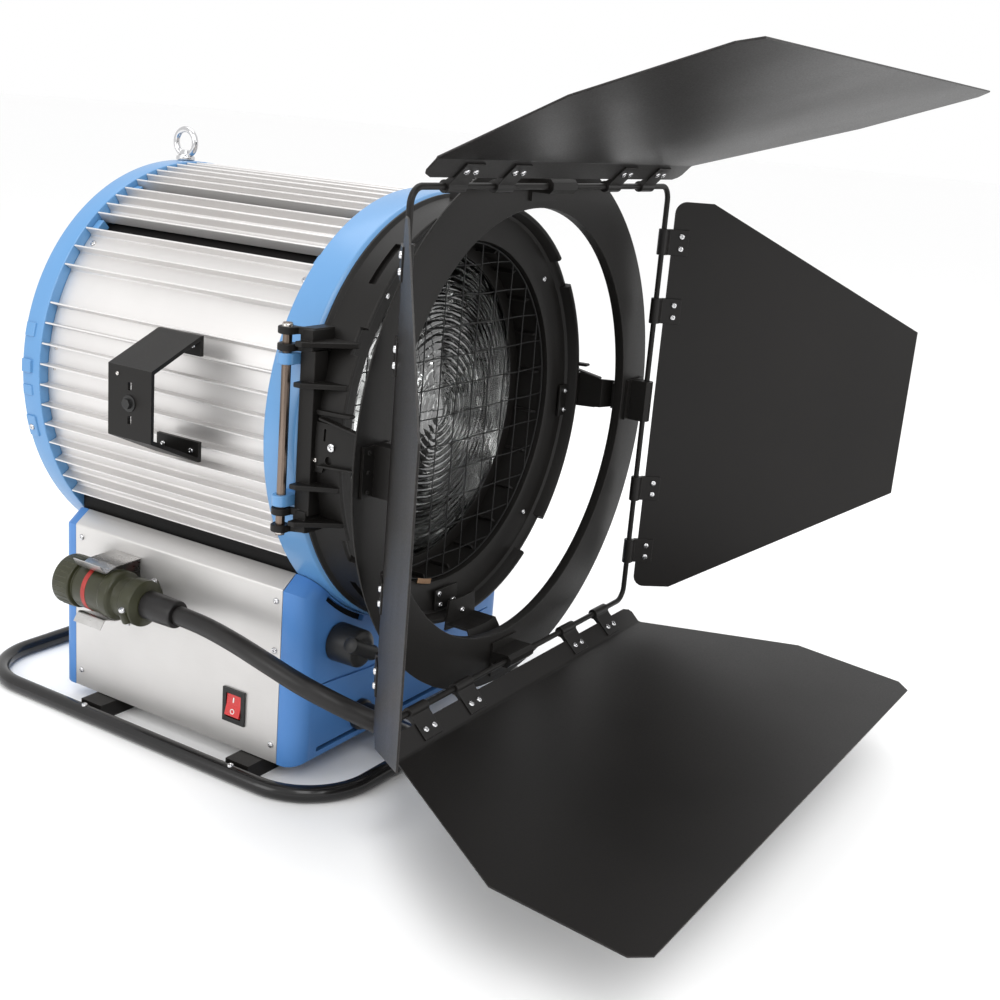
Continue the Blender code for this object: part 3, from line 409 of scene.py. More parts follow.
def rounded_loop(half_u, low_v, high_v, corner, steps=12):
    loop = arc(corner, 0, 90, steps, (half_u - corner, high_v - corner))
    loop += arc(corner, 90, 180, steps, (corner - half_u, high_v - corner))
    loop += arc(corner, 180, 270, steps, (corner - half_u, low_v + corner))
    loop += arc(corner, 270, 360, steps, (half_u - corner, low_v + corner))
    return loop


def eased(profile, size, steps=3):
    """Round every corner of a closed (radius, along) profile by about size."""
    rounded = []
    count = len(profile)
    for i in range(count):
        here = Vector(profile[i])
        if here[0] < 1e-7:
            rounded.append(tuple(here))
            continue
        before = Vector(profile[i - 1]) - here
        after = Vector(profile[(i + 1) % count]) - here
        reach = min(size, before.length * 0.45, after.length * 0.45)
        a = here + before.normalized() * reach
        b = here + after.normalized() * reach
        for k in range(steps + 1):
            t = k / steps
            rounded.append(tuple((1 - t) ** 2 * a + 2 * t * (1 - t) * here + t * t * b))
    return rounded


def cut(obj, *cutters):
    """Subtract each bmesh from obj."""
    for bm in cutters:
        tool = plain("cutter", bm)
        change = obj.modifiers.new("cut", "BOOLEAN")
        change.operation = "DIFFERENCE"
        change.solver = "EXACT"
        change.object = tool
        bpy.context.view_layer.update()
        result = bpy.data.meshes.new_from_object(obj.evaluated_get(bpy.context.evaluated_depsgraph_get()))
        obj.modifiers.remove(change)
        obj.data = result
        bpy.data.objects.remove(tool)
    return obj


def rod(start, end, radius, sides=32, bm=None):
    start, end = Vector(start), Vector(end)
    return sweep([start, end], radius, False, sides, bm)


def smooth_route(route, count):
    """Points at even steps along a Catmull-Rom curve through the route."""
    knots = [Vector(p) for p in route]
    ends = [2 * knots[0] - knots[1]] + knots + [2 * knots[-1] - knots[-2]]
    spans = len(knots) - 1
    points = []
    for i in range(count):
        at = spans * i / (count - 1)
        k = min(int(at), spans - 1)
        t = at - k
        a, b, c, d = ends[k:k + 4]
        points.append(0.5 * ((2 * b) + (c - a) * t + (2 * a - 5 * b + 4 * c - d) * t ** 2
                             + (3 * b - a - 3 * c + d) * t ** 3))
    return points


def screw_heads(name, places, radius, body, kind="chrome", cross=True):
    """Pan-head screws at (point, outward direction) places, each with a cross recess."""
    sides = 24
    turns = [2 * pi * k / sides for k in range(sides)]
    recess = [0.5 if k % 6 in (0, 1, 5) or not cross else 0.2 for k in range(sides)]
    dome = ((1.0, -0.2), (1.0, 0.22), (0.94, 0.4), (0.8, 0.54), (0.62, 0.6))
    rings = [([r] * sides, h) for r, h in dome] + [(recess, 0.6), ([r * 0.55 for r in recess], 0.3)]
    bm = bmesh.new()
    for n, (point, direction) in enumerate(places):
        direction = Vector(direction).normalized()
        side = Matrix.Rotation(radians(37.0 * n), 3, direction) @ direction.orthogonal().normalized()
        other = direction.cross(side)
        ways = [side * cos(t) + other * sin(t) for t in turns]
        layered(bm, [[Vector(point) + direction * (h * radius) + way * (r * radius)
                      for r, way in zip(reach, ways)] for reach, h in rings])
    return piece(name, bm, kind, body, angle=40.0)


def on_drum(radius, degree, y, z=LENS_Z):
    return Vector((radius * cos(radians(degree)), y, z + radius * sin(radians(degree))))


def outward(degree):
    return Vector((cos(radians(degree)), 0.0, sin(radians(degree))))


def drum_places(radius, angles, y):
    """Places for screws on the drum, each with its outward direction."""
    return [(on_drum(radius, degree, y), outward(degree)) for degree in angles]


# ---------------------------------------------------------------- drum

def cast_rings():
    front, back = FRONT_RING_Y, FRONT_RING_BACK
    profile = eased([
        (RING_BORE_R, front), (RING_R - 0.0035, front), (RING_R, front + 0.0035),
        (RING_R, back - 0.0012), (RING_R - 0.0012, back), (RING_BORE_R, back),
    ], 0.0012)
    piece("front_ring_casting", turned(profile, 192), "blue_paint", "lamp_house", ["front_ring"])
    lugs = bmesh.new()
    for low in (0.067, -0.0535):
        outline = arc(0.0078, 90, 270, 14, (HINGE_X, HINGE_Y))
        outline += [(-0.188, HINGE_Y - 0.0078), (-0.188, HINGE_Y + 0.0078)]
        prism(outline, along_z, LENS_Z + low, LENS_Z + low + 0.0095, lugs)
    piece("hinge_lugs", lugs, "blue_paint", "lamp_house", bevel=0.0009)
    boss = arc(0.0115, -90, 90, 14, (0.2115, 0.0)) + [(0.186, 0.0115), (0.186, -0.0115)]
    boss = prism([(x, LENS_Z + z) for x, z in boss], along_y, HINGE_Y - 0.0072, HINGE_Y + 0.011)
    piece("screw_boss", boss, "blue_paint", "lamp_house", bevel=0.0012)
    front, back = REAR_RING_Y, REAR_RING_BACK
    rear = eased([
        (RING_BORE_R, front), (REAR_RING_R, front), (REAR_RING_R, back - 0.006),
        (REAR_RING_R - 0.005, back), (RING_BORE_R, back),
    ], 0.0015)
    piece("rear_ring_casting", turned(rear, 192), "blue_paint", "lamp_house", ["rear_ring"])
    pads = bmesh.new()
    spans = ((10.6, 3.8, 0.0016), (0.9, 3.6, 0.0026), (-5.3, 2.8, 0.0014), (-17.2, 6.0, 0.0018))
    for start, turn, height in spans:
        top = REAR_RING_R + height
        section = [(REAR_RING_R - 0.003, front + 0.008), (top, front + 0.010), (top, back - 0.007),
                   (REAR_RING_R - 0.004, back - 0.004)]
        for first in (start, 180.0 - start - turn):
            turned(section, 4, first, turn, bm=pads)
    piece("rear_ring_pads", pads, "blue_paint", "lamp_house", bevel=0.0008)
    places = drum_places(REAR_RING_R + 0.0016, (-14.5, 194.5), front + 0.016)
    screw_heads("rear_ring_screws", places, 0.0030, "lamp_house")


def fin_outline(angles):
    """The extruded panel's section: thin fins with a rounded lip on a curved skin."""
    ordered = sorted(angles)
    per_mm = degrees(0.001 / FIN_TIP_R)
    root = [(FIN_ROOT_R, 1.9), (FIN_ROOT_R + 0.0012, 0.8)]
    bead = ((0.0016, 0.6), (0.0010, 0.95), (0.0003, 0.75), (0.0, 0.3))
    lip = [(FIN_TIP_R - depth, half) for depth, half in bead]
    outer = []

    def put(radius, degree):
        outer.append((radius * cos(radians(degree)), LENS_Z + radius * sin(radians(degree))))

    for i, angle in enumerate(ordered):
        if i:
            previous = ordered[i - 1]
            steps = max(1, round((angle - previous) / 3.0))
            for j in range(1, steps):
                put(FIN_ROOT_R, previous + (angle - previous) * j / steps)
        for radius, half in root * (i > 0) + lip:
            put(radius, angle - half * per_mm)
        for radius, half in reversed(root * (angle < ordered[-1]) + lip):
            put(radius, angle + half * per_mm)
    first, final = ordered[0] - 0.6 * per_mm, ordered[-1] + 0.6 * per_mm
    steps = max(2, round((final - first) / 3.0))
    for i in range(steps + 1):
        put(FIN_ROOT_R - 0.0020, final - (final - first) * i / steps)
    return outer


SIDE_FINS = [43.7, 37.6, 31.8] + [20.6 - 5.6 * i for i in range(10)] + [-35.8]
SHOULDER_FINS = [49.5 + 3.9 * i for i in range(4)]
TOP_FINS = [66.0 + 4.0 * i for i in range(13)]


def mirrored(angles):
    return [180.0 - a for a in angles]


def fin_panels():
    panels = {
        "right_fin_panel": SIDE_FINS, "left_fin_panel": mirrored(SIDE_FINS),
        "right_shoulder_panel": SHOULDER_FINS, "left_shoulder_panel": mirrored(SHOULDER_FINS),
        "top_fin_panel": TOP_FINS,
    }
    for node, angles in panels.items():
        shape = prism(fin_outline(angles), along_y, PANEL_Y[0], PANEL_Y[1])
        piece(node.replace("panel", "extrusion"), shape, "silver_panel", "lamp_house", [node], angle=25.0)
    liner = plain("inner_liner_sheet", turned(band(LINER_R - 0.0015, LINER_R, *PANEL_Y), 120))
    cut(liner, block((-0.102, -0.075, 0.10), (-0.078, 0.095, 0.22)))
    dress(liner, "black_liner", "lamp_house", ["inner_liner"])
    upper_gaps = [46.6, 63.6] + mirrored([46.6, 63.6])
    gaps = upper_gaps + [-39.5, 219.5]
    strips = bmesh.new()
    for degree in gaps:
        turned(band(0.1845, 0.1860, *PANEL_Y), 4, degree - 3.6, 7.2, bm=strips)
    for side in (-1, 1):
        near, far = sorted((side * 0.1475, side * 0.1490))
        block((near, PANEL_Y[0], BASE_TOP_Z - 0.006), (far, PANEL_Y[1], 0.2080), strips)
    piece("gap_strips", strips, "black_liner", "lamp_house")
    rivets = drum_places(0.1860, gaps, 0.012) + drum_places(FIN_ROOT_R, (8.6, 2.8, 171.4, 177.2), 0.132)
    screw_heads("panel_rivets", rivets, 0.0016, "lamp_house", "bright_steel", False)
    posts = bmesh.new()
    for degree in upper_gaps:
        for low in (PANEL_Y[0], PANEL_Y[1] - 0.008):
            turned(band(0.187, 0.197, low, low + 0.008), 3, degree - 1.7, 3.4, bm=posts)
    piece("gap_posts", posts, "blue_paint", "lamp_house", bevel=0.0008)
    places = []
    for degree in (40.7, -33.0):
        for y in (0.131, -0.131):
            places += drum_places(FIN_ROOT_R, (degree, 180.0 - degree), y)
    screw_heads("panel_screws", places, 0.0030, "lamp_house")


def rear_cover():
    r = RING_BORE_R - GAP
    profile = eased([
        (0.0, 0.1755), (0.040, 0.1755), (0.046, 0.1740), (0.120, 0.1740), (0.128, 0.1760), (0.136, 0.1755),
        (r - 0.012, 0.1665), (r, 0.1625), (r, 0.1425), (r - 0.003, 0.1425), (r - 0.003, 0.1595),
        (r - 0.014, 0.1630), (0.130, 0.1710), (0.0, 0.1710),
    ], 0.0015)
    cover = plain("rear_cover_dish", turned(profile, 144))
    slots = bmesh.new()
    for k in range(12):
        for j in range(4):
            slot = band(0.062 + 0.0135 * j, 0.068 + 0.0135 * j, 0.15, 0.19)
            turned(slot, 8, 30.0 * k + 4.0, 22.0, bm=slots)
    cut(cover, slots)
    dress(cover, "blue_paint", "lamp_house", ["rear_cover"])
    places = [(on_drum(0.1795, 45.0 * k + 22.5, 0.1646), (0, 1, 0)) for k in range(8)]
    screw_heads("cover_screws", places, 0.0032, "lamp_house")


def eyebolt():
    low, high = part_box("eyebolt")
    y = middle("eyebolt").y
    bar = 0.0032
    ring = high[2] - (LENS_Z + REAR_RING_R)
    top = LENS_Z + REAR_RING_R + GAP
    ring_r = (high[1] - low[1]) / 2 - bar
    z = high[2] - bar - ring_r
    turns = [2 * pi * i / 64 for i in range(64)]
    bm = sweep([(0.0, y + ring_r * sin(t), z + ring_r * cos(t)) for t in turns], bar, True, 24)
    collar = eased([(0.0, top), (0.0095, top), (0.0095, top + 0.0035), (0.0058, top + 0.0058),
                    (0.0042, top + ring * 0.3), (0.0, top + ring * 0.3)], 0.0008)
    turned(collar, 40, centre=(0.0, y), bm=bm, axis=along_z)
    turned(band(0.0, 0.0038, LENS_Z + 0.190, top), 24, centre=(0.0, y), bm=bm, axis=along_z)
    piece("safety_eyebolt", bm, "chrome", "lamp_house", ["eyebolt"])


# ---------------------------------------------------------------- base

def base_outline(inset):
    """The base's section in (x, z), drawn in by inset at its sides, folds and bottom."""
    reach = RING_R + 0.0006
    run = Vector((BASE_HALF_W - BASE_TOP_HALF_W, BASE_TOP_Z - BASE_FOLD_Z)).normalized()
    slope = run.y / run.x
    normal = Vector((run.y, -run.x))
    start = Vector((-BASE_HALF_W, BASE_FOLD_Z)) + normal * inset
    side_x = inset - BASE_HALF_W
    fold = (side_x, start.y + (side_x - start.x) * slope)
    offset = start - Vector((0.0, LENS_Z))
    b = offset.dot(run)
    s = -b - sqrt(b * b - offset.length_squared + reach * reach)
    end = start + run * s
    angle = degrees(acos(end.x / reach))
    under = arc(reach, 360.0 - angle, 180.0 + angle, 48, (0.0, LENS_Z))
    bottom = 0.35 * inset
    return under + [(-side_x, fold[1]), (-side_x, bottom), (side_x, bottom), fold]


def cast_end(name, back, front, radius):
    """A base casting from back to front in y, with its outer edge rounded by radius."""
    direction = 1.0 if front > back else -1.0
    layers = [(back, 0.0)]
    for u, v in arc(radius, 180, 90, 10, (radius, -radius)):
        layers.append((front + direction * v, u))
    bm = bmesh.new()
    layered(bm, [[Vector((x, y, z)) for x, z in base_outline(inset)] for y, inset in layers])
    return plain(name, bm)


def base():
    back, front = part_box("base_front")[1][1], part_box("base_front")[0][1]
    casting = cast_end("base_front_casting", back, front, 0.020)
    cutters = []
    # Black strips just behind the arc slots and the long low slot: painted shade standing in for the dark
    # depth of the slots.
    slot_shade = bmesh.new()
    for start in (229.0, 293.0):
        cutters.append(turned(band(0.2070, 0.2125, front - 0.01, front + 0.006), 20, start, 18.0))
        turned(band(0.2060, 0.2135, front + 0.0052, front + 0.0064), 20, start - 0.4, 18.8, bm=slot_shade)
    low_slot = rounded_loop(0.143, 0.0108, 0.0154, 0.0022, 5)
    cutters.append(prism(low_slot, along_y, front - 0.01, front + 0.006))
    groove = [(-0.143, 0.0781), (-0.143, 0.0788), (-0.066, 0.0796), (0.066, 0.0796), (0.143, 0.0788),
              (0.143, 0.0781), (0.066, 0.0724), (-0.066, 0.0724)]
    cutters.append(prism(groove, along_y, front - 0.01, front + 0.0022))
    block((-0.1435, front + 0.0052, 0.0103), (0.1435, front + 0.0064, 0.0159), slot_shade)
    piece("base_slot_painted_shade", slot_shade, "black_liner", "lamp_house")
    cutters.append(rod((GLAND.x, -0.2, GLAND.z), (GLAND.x, -0.13, GLAND.z), 0.0113))
    cut(casting, *cutters)
    dress(casting, "blue_paint_shaded", "lamp_house", ["base_front"], bevel=0.0007)
    low_y, high_y = y_range("base_rear")
    rear = cast_end("base_rear_casting", low_y, high_y, 0.012)
    for z in (0.030, 0.044, 0.058, 0.072):
        vent = rounded_loop(0.105, z - 0.003, z + 0.003, 0.0029, 5)
        cut(rear, prism(vent, along_y, high_y - 0.004, high_y + 0.01))
    dress(rear, "blue_paint_shaded", "lamp_house", ["base_rear"], bevel=0.0007)
    for side, node in ((-1, "base_panel_left"), (1, "base_panel_right")):
        base_panel(side, node)


def base_panel(side, node):
    low_y, high_y = y_range(node)
    sheet = 0.0015
    corner = arc(0.004, 0, 37.4, 5, (-0.004, 0.0))
    fold = [(BASE_HALF_W + x, BASE_FOLD_Z + z - 0.001) for x, z in corner]
    outline = [(BASE_HALF_W, GAP)] + fold + [
        (BASE_TOP_HALF_W, BASE_TOP_Z), (BASE_TOP_HALF_W - 0.0009, BASE_TOP_Z - 0.0012),
        (BASE_HALF_W - sheet, BASE_FOLD_Z - 0.0012), (BASE_HALF_W - sheet, GAP)]
    panel = plain(node + "_sheet", prism([(side * x, z) for x, z in outline], along_y, low_y, high_y))
    if side < 0:
        reach = Vector((0.01, 0.0115, 0.0145))
        hole = Vector((-0.17, SWITCH.y, SWITCH.z))
        cut(panel, block(hole - reach, hole + reach))
    dress(panel, "base_sheet", "lamp_house", [node], bevel=0.0003)
    spots = [(-0.134, 0.160), (-0.134, 0.112), (-0.134, 0.018), (0.120, 0.160), (0.120, 0.018)]
    places = [((side * BASE_HALF_W, y, z), (side, 0, 0)) for y, z in spots]
    screw_heads(node + "_screws", places, 0.0031, "lamp_house")


def skid():
    low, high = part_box("skid_tube")
    radius = (high[2] - low[2]) / 2
    z = low[2] + radius
    loop = rounded_loop(high[0] - radius, low[1] + radius, high[1] - radius, 0.070, 24)
    piece("skid_hoop", sweep([(x, y, z) for x, y in loop], radius, True, 28), "black_tube", "lamp_house",
          ["skid_tube"])
    places = []
    for node in ("skid_crossbar_front", "skid_crossbar_rear"):
        mid = middle(node)
        for side in (-1, 1):
            places.append(((side * (high[0] - radius), mid.y, high[2] - 0.0002), (0, 0, 1)))
    screw_heads("skid_screws", places, 0.0030, "lamp_house")


# ---------------------------------------------------------------- switch, plug and cable

def switch():
    tilt = radians(10.0)
    x0 = -BASE_HALF_W + 0.003

    def on_rocker(u, v, y):
        return Vector((x0 + u * cos(tilt) + v * sin(tilt), y, SWITCH.z - u * sin(tilt) + v * cos(tilt)))

    bar = bmesh.new()
    stroke = band(-0.0006, 0.0006, 0.0030, 0.0080)
    layered(bar, [[on_rocker(u - v * 0.05, v, SWITCH.y + y) for y, v in stroke] for u in (-0.0050, -0.0057)])
    turns = [2 * pi * k / 28 for k in range(28)]
    circle = [on_rocker(-0.00535 - 0.0001 * sin(t), -0.0058 + 0.0022 * sin(t), SWITCH.y + 0.0022 * cos(t))
              for t in turns]
    sweep(circle, 0.00045, True, 8, bar)
    piece("switch_marks", bar, "white_mark", "rocker_switch")


def plug():
    y0 = PLUG_REAR_Y
    x, z = PLUG.x, PLUG.z
    front = y_range("cable_connector")[0]
    profile = [
        (0.0, y0), (0.0215, y0), (0.0245, y0 - 0.0025), (0.0245, y0 - 0.0225), (0.0238, y0 - 0.0235),
        (0.0205, y0 - 0.0240), (0.0205, y0 - 0.0275), (0.0226, y0 - 0.0280), (0.0226, y0 - 0.0620),
        (0.0240, y0 - 0.0640), (0.0240, front + 0.034), (0.0228, front + 0.032), (0.0190, front + 0.030),
        (0.0186, front + 0.019), (0.0222, front + 0.0175), (0.0222, front + 0.0035), (0.0165, front + 0.001),
        (0.0140, front), (0.0, front),
    ]
    body = turned(eased(profile, 0.0007), 72, centre=(x, z))
    for k in range(30):
        degree = 12.0 * k
        start, end = [Vector((x, y, z)) + outward(degree) * 0.0243 for y in (y0 - 0.0045, y0 - 0.0205)]
        rod(start, end, 0.0006, 6, body)
    connector = piece("connector_shell", body, "olive_shell", "lamp_house", ["cable_connector"])
    mark = turned(eased(band(0.0222, 0.02285, y0 - 0.0400, y0 - 0.0455), 0.0002), 72, centre=(x, z))
    mark = piece("connector_band", mark, "red_band", "lamp_house")
    clamp = bmesh.new()
    tips = bmesh.new()
    heads = []
    along = Vector((-sin(radians(25.0)), 0.0, cos(radians(25.0))))
    for turn in (25.0, 205.0):
        boss = Vector((x, front + 0.0105, z)) + outward(turn) * 0.0215
        rod(boss - along * 0.0066, boss + along * 0.0066, 0.0044, 24, clamp)
        rod(boss - along * 0.0110, boss - along * 0.0060, 0.0017, 16, tips)
        rod(boss + along * 0.0064, boss + along * 0.0076, 0.0034, 24, tips)
        heads.append((boss + along * 0.0080, along))
    clamp = piece("connector_clamp", clamp, "olive_shell", "lamp_house", bevel=0.0006)
    tips = piece("connector_screw_tips", tips, "chrome", "lamp_house")
    heads = screw_heads("connector_screws", heads, 0.0034, "lamp_house")
    sleeve_front, sleeve_rear = y_range("cable_boot")
    sleeve = eased([
        (0.0, sleeve_rear), (0.0138, sleeve_rear), (0.0132, sleeve_front + 0.002), (0.0126, sleeve_front),
        (0.0100, sleeve_front), (0.0, sleeve_front + 0.001)], 0.0008)
    sleeve = turned(sleeve, 56, centre=(x, z))
    sleeve = piece("connector_sleeve", sleeve, "black_rubber", "lamp_house", ["cable_boot"])
    points = smooth_route(CABLE_ROUTE, 150)
    cable = sweep(points, CABLE_R, False, 28)
    cable = piece("tail_lead", cable, "black_rubber", "lamp_house", ["tail_cable"])
    back = y_range("base_front")[0]
    relief = eased([
        (0.0, back + 0.02), (0.0108, back + 0.02), (0.0108, back), (0.0150, back - 0.0003),
        (0.0150, back - 0.006), (0.0128, back - 0.0075), (0.0128, back - 0.013), (0.0116, back - 0.020),
        (0.0104, back - 0.034), (0.0098, back - 0.0345), (0.0, back - 0.033)], 0.0006)
    relief = turned(relief, 48, centre=(GLAND.x, GLAND.z))
    relief = piece("strain_relief", relief, "black_rubber", "lamp_house", ["cable_gland"])


def parking_clip():
    """A spring strap whose pinched, flared lips hold the connector's shell."""
    low_y, high_y = y_range("parking_clip")
    wall = -BASE_HALF_W - GAP - PLUG.x
    route = [(wall, 0.0282), (0.004, 0.0276), (-0.002, 0.0270), (-0.0090, 0.0246), (-0.0132, 0.0234),
             (-0.0152, 0.0240), (-0.0180, 0.0276), (-0.0206, 0.0318)]
    points = smooth_route([(u, v, 0.0) for u, v in route], 40)
    outer, inner = [], []
    for k, point in enumerate(points):
        ahead = (points[min(k + 1, 39)] - points[max(k - 1, 0)]).normalized()
        outer.append((point.x + ahead.y * 0.0005, point.y - ahead.x * 0.0005))
        inner.append((point.x - ahead.y * 0.0005, point.y + ahead.x * 0.0005))
    strap = bmesh.new()
    for way in (1, -1):
        outline = [(PLUG.x + u, PLUG.z + way * v) for u, v in outer + inner[::-1]]
        prism(outline, along_y, low_y, high_y, strap)
    low_z, high_z = PLUG.z - 0.0282, PLUG.z + 0.0282
    block((PLUG.x + wall - 0.0010, low_y, low_z), (PLUG.x + wall, high_y, high_z), strap)
    piece("parking_strap", strap, "zinc_steel", "lamp_house", ["parking_clip"], bevel=0.0002)


# ---------------------------------------------------------------- lens door

def door_sections():
    """The door's profile at each angle: notched rim and vent grooves in the outer wall."""
    notches = [(112.0, 124.0), (150.0, 157.0), (35.5, 46.0), (-54.0, -41.0), (-128.0, -116.0),
               (204.0, 211.0)]
    grooves = [(125.0, 138.5), (53.0, 62.0), (-66.0, -58.0), (220.0, 230.0)]
    edges = sorted({e % 360.0 for pair in notches + grooves for e in pair})

    def within(degree, pairs):
        return any((degree - low) % 360.0 < (high - low) for low, high in pairs)

    def profile(degree):
        rim = DOOR_RIM_Y + (0.0065 if within(degree, notches) else 0.0)
        dip = 0.0040 if within(degree, grooves) else 0.0
        r, bore = DOOR_R, DOOR_BORE_R
        return [
            (0.2033, DOOR_BACK_Y), (0.2035, DOOR_BACK_Y - 0.0020), (r + 0.0005, DOOR_BACK_Y - 0.0050),
            (r, DOOR_BACK_Y - 0.0070), (r, -0.2018), (r - dip, -0.2020), (r - dip, -0.2092), (r, -0.2094),
            (r, rim + 0.0012), (r - 0.0006, rim + 0.0003), (r - 0.0018, rim), (0.1968, rim),
            (0.1957, rim + 0.0005), (0.1948, rim + 0.002), (0.1925, -0.2105), (0.1900, -0.2085),
            (0.1840, -0.2080), (0.1720, -0.2055), (bore + 0.0025, -0.2042), (bore + 0.0004, -0.2030),
            (bore, -0.2010), (bore, LENS_SEAT_Y), (LENS_R + 0.0015, LENS_SEAT_Y),
            (LENS_R + 0.0015, -0.1470), (0.1780, -0.1470), (0.1780, DOOR_BACK_Y),
        ]

    steps = sorted({round(2.0 * k, 3) for k in range(180)} - {round(e, 3) for e in edges})
    sections = [(d, profile(d)) for d in steps]
    for e in edges:
        sections.append((e - 0.001, profile(e - 0.01)))
        sections.append((e + 0.001, profile(e + 0.01)))
    return sorted(sections, key=lambda section: section[0])


def wedge(bm, centre_z, thick):
    """A rib on the door's wall that tapers from the hinge plate to the rim."""
    x = -sqrt(DOOR_R ** 2 - (centre_z - LENS_Z) ** 2)
    outline = [(x + 0.002, -0.183), (HINGE_X - 0.004, -0.183), (HINGE_X - 0.004, -0.190),
               (x - 0.0012, -0.2205), (x + 0.002, -0.2205)]
    prism(outline, along_z, centre_z - thick / 2, centre_z + thick / 2, bm)


def lens_door():
    casting = turned_sections(door_sections(), True)
    piece("door_casting", casting, "black_paint", "lens_door", ["lens_door"], angle=28.0)
    hinge = bmesh.new()
    block((HINGE_X + 0.007, -0.196, LENS_Z - 0.060), (-0.190, DOOR_BACK_Y, LENS_Z + 0.080), hinge)
    prong = 0.0062
    prong_outline = arc(0.0080, 90, 270, 14, (HINGE_X, HINGE_Y)) + [
        (HINGE_X + 0.004, HINGE_Y - 0.008), (HINGE_X + 0.010, -0.193), (-0.180, -0.194),
        (-0.180, DOOR_BACK_Y), (HINGE_X + 0.009, DOOR_BACK_Y), (HINGE_X + 0.007, HINGE_Y + 0.008)]
    for low, high in ((0.078, 0.098), (-0.076, -0.055)):
        z0, z1 = LENS_Z + low, LENS_Z + high
        for a, b in ((z0, z0 + prong), (z1 - prong, z1)):
            prism(prong_outline, along_z, a, b, hinge)
        block((HINGE_X + 0.0055, -0.194, z0 + 0.001), (-0.180, DOOR_BACK_Y, z1 - 0.001), hinge)
    for z in (0.0855, 0.052, -0.034, -0.066):
        wedge(hinge, LENS_Z + z, 0.0045)
    block((0.185, -0.192, LENS_Z - 0.012), (0.2215, DOOR_BACK_Y, LENS_Z + 0.012), hinge)
    piece("door_hinge_plate", hinge, "black_paint", "lens_door", bevel=0.0010)
    ribs = bmesh.new()
    section = [(0.1640, -0.1690), (0.1590, -0.1690), (0.1590, -0.1900), (0.1640, -0.1935)]
    for k in range(24):
        degree = 15.0 * k + 7.5
        side = outward(degree + 90.0) * 0.0011
        layered(ribs, [[on_drum(r, degree, y) + side * s for r, y in section] for s in (-1, 1)])
    piece("door_bore_ribs", ribs, "black_paint", "lens_door", bevel=0.0004)
    clamp = turned(eased(band(0.1500, 0.1628, -0.1662, -0.1634), 0.0006), 144)
    piece("lens_clamp_ring", clamp, "black_paint", "lens_door")
    lip = [(on_drum(0.1781, degree, -0.2072), (0, -1, 0)) for degree in (43.0, 137.0, 223.0, 317.0)]
    screw_heads("door_lip_screws", lip, 0.0028, "lens_door")
    clip = turned(band(0.1590, 0.1640, -0.2060, -0.2046), 6, -109.0, 8.0)
    piece("guard_clips", clip, "brass", "lens_door", bevel=0.0003)
    knuckle_screws = [((HINGE_X, HINGE_Y, LENS_Z + end), (0, 0, end)) for end in (0.098, -0.076)]
    screw_heads("hinge_screws", knuckle_screws, 0.0048, "lens_door", "bright_steel")


def fresnel_lens():
    """Stepped rings on a shallow dome, with a plain bull's eye and a flat rim."""
    front = LENS_SEAT_Y + GAP
    dome_r, rise, pitch, eye = 0.1520, 0.0190, 0.0076, 0.0152

    def dome(r):
        return rise * (1 - (r / dome_r) ** 2)

    profile = []
    for k in range(9):
        t = k / 8
        profile.append((eye * t, front - dome(0.0) - 0.0035 * (1 - t * t)))
    r = eye
    while r + pitch <= dome_r + 0.001:
        slope = tan(radians(10.0 + 24.0 * r / dome_r))
        tooth = min(pitch * slope, 0.0044)
        for k in range(7):
            t = k / 6
            at = r + 0.0004 + (pitch - 0.0004) * t
            profile.append((at, front - dome(at) - tooth * (1 - t ** 1.7)))
        r += pitch
    back = front + 0.0058
    profile += [(r + 0.001, front), (LENS_R, front), (LENS_R, back), (0.0, back)]
    piece("stepped_lens", turned(profile, 240), "lens_glass", "lens_door", ["fresnel_lens"], angle=24.0)


def wire_guard():
    wire, pitch = 0.00062, 0.028
    radius = GUARD_R - 0.0012
    bm = sweep([on_drum(radius, 3.0 * k, GUARD_Y) for k in range(120)], 0.0008, True, 10)
    reach = int(radius / pitch)
    steps, wave = 24, 0.0004
    for i in range(-reach, reach + 1):
        at = i * pitch
        half = sqrt(radius ** 2 - at ** 2)
        reaches = [half * (2 * k / steps - 1) for k in range(steps + 1)]
        upright = [(at + wave * sin(90 * s + i), GUARD_Y - 0.0004, LENS_Z + s) for s in reaches]
        level = [(s, GUARD_Y + 0.0005, LENS_Z + at + wave * sin(80 * s + 2 * i)) for s in reaches]
        for points in (upright, level):
            sweep(points, wire, False, 8, bm)
    piece("guard_mesh", bm, "guard_wire", "lens_door", ["wire_guard"])


# ---------------------------------------------------------------- barn doors

def barn_ring():
    low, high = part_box("barn_door_ring")
    outer = (high[0] - low[0]) / 2
    face, back = low[1], high[1]
    bore, lip = 0.1995, 0.2100
    profile = eased([
        (outer, face), (outer, face + 0.002), (bore + 0.002, face + 0.002), (bore + 0.002, back - 0.002),
        (lip, back - 0.002), (lip, back), (bore, back), (bore, face)], 0.0008)
    piece("barn_ring", turned(profile, 192), "black_paint", "barn_doors", ["barn_door_ring"])
    loop = rounded_loop(WIRE_HALF, LENS_Z - WIRE_HALF, LENS_Z + WIRE_HALF, 0.014, 10)
    wire = sweep([(x, WIRE_Y, z) for x, z in loop], WIRE_R, True, 20)
    piece("wire_frame", wire, "black_paint", "barn_doors", ["barn_door_frame"])
    places = []
    for degree in (0, 90, 180, 270):
        across = Vector((-sin(radians(degree)), 0, cos(radians(degree))))
        for side in (-0.016, 0.0, 0.016):
            spot = Vector((0, face - 0.0026, LENS_Z)) + outward(degree) * 0.2335 + across * side
            places.append((spot, (0, -1, 0)))
    screw_heads("frame_bracket_screws", places, 0.0022, "barn_doors", "black_paint")


CLIP_SPOTS = (-0.165, -0.095, 0.095, 0.165)


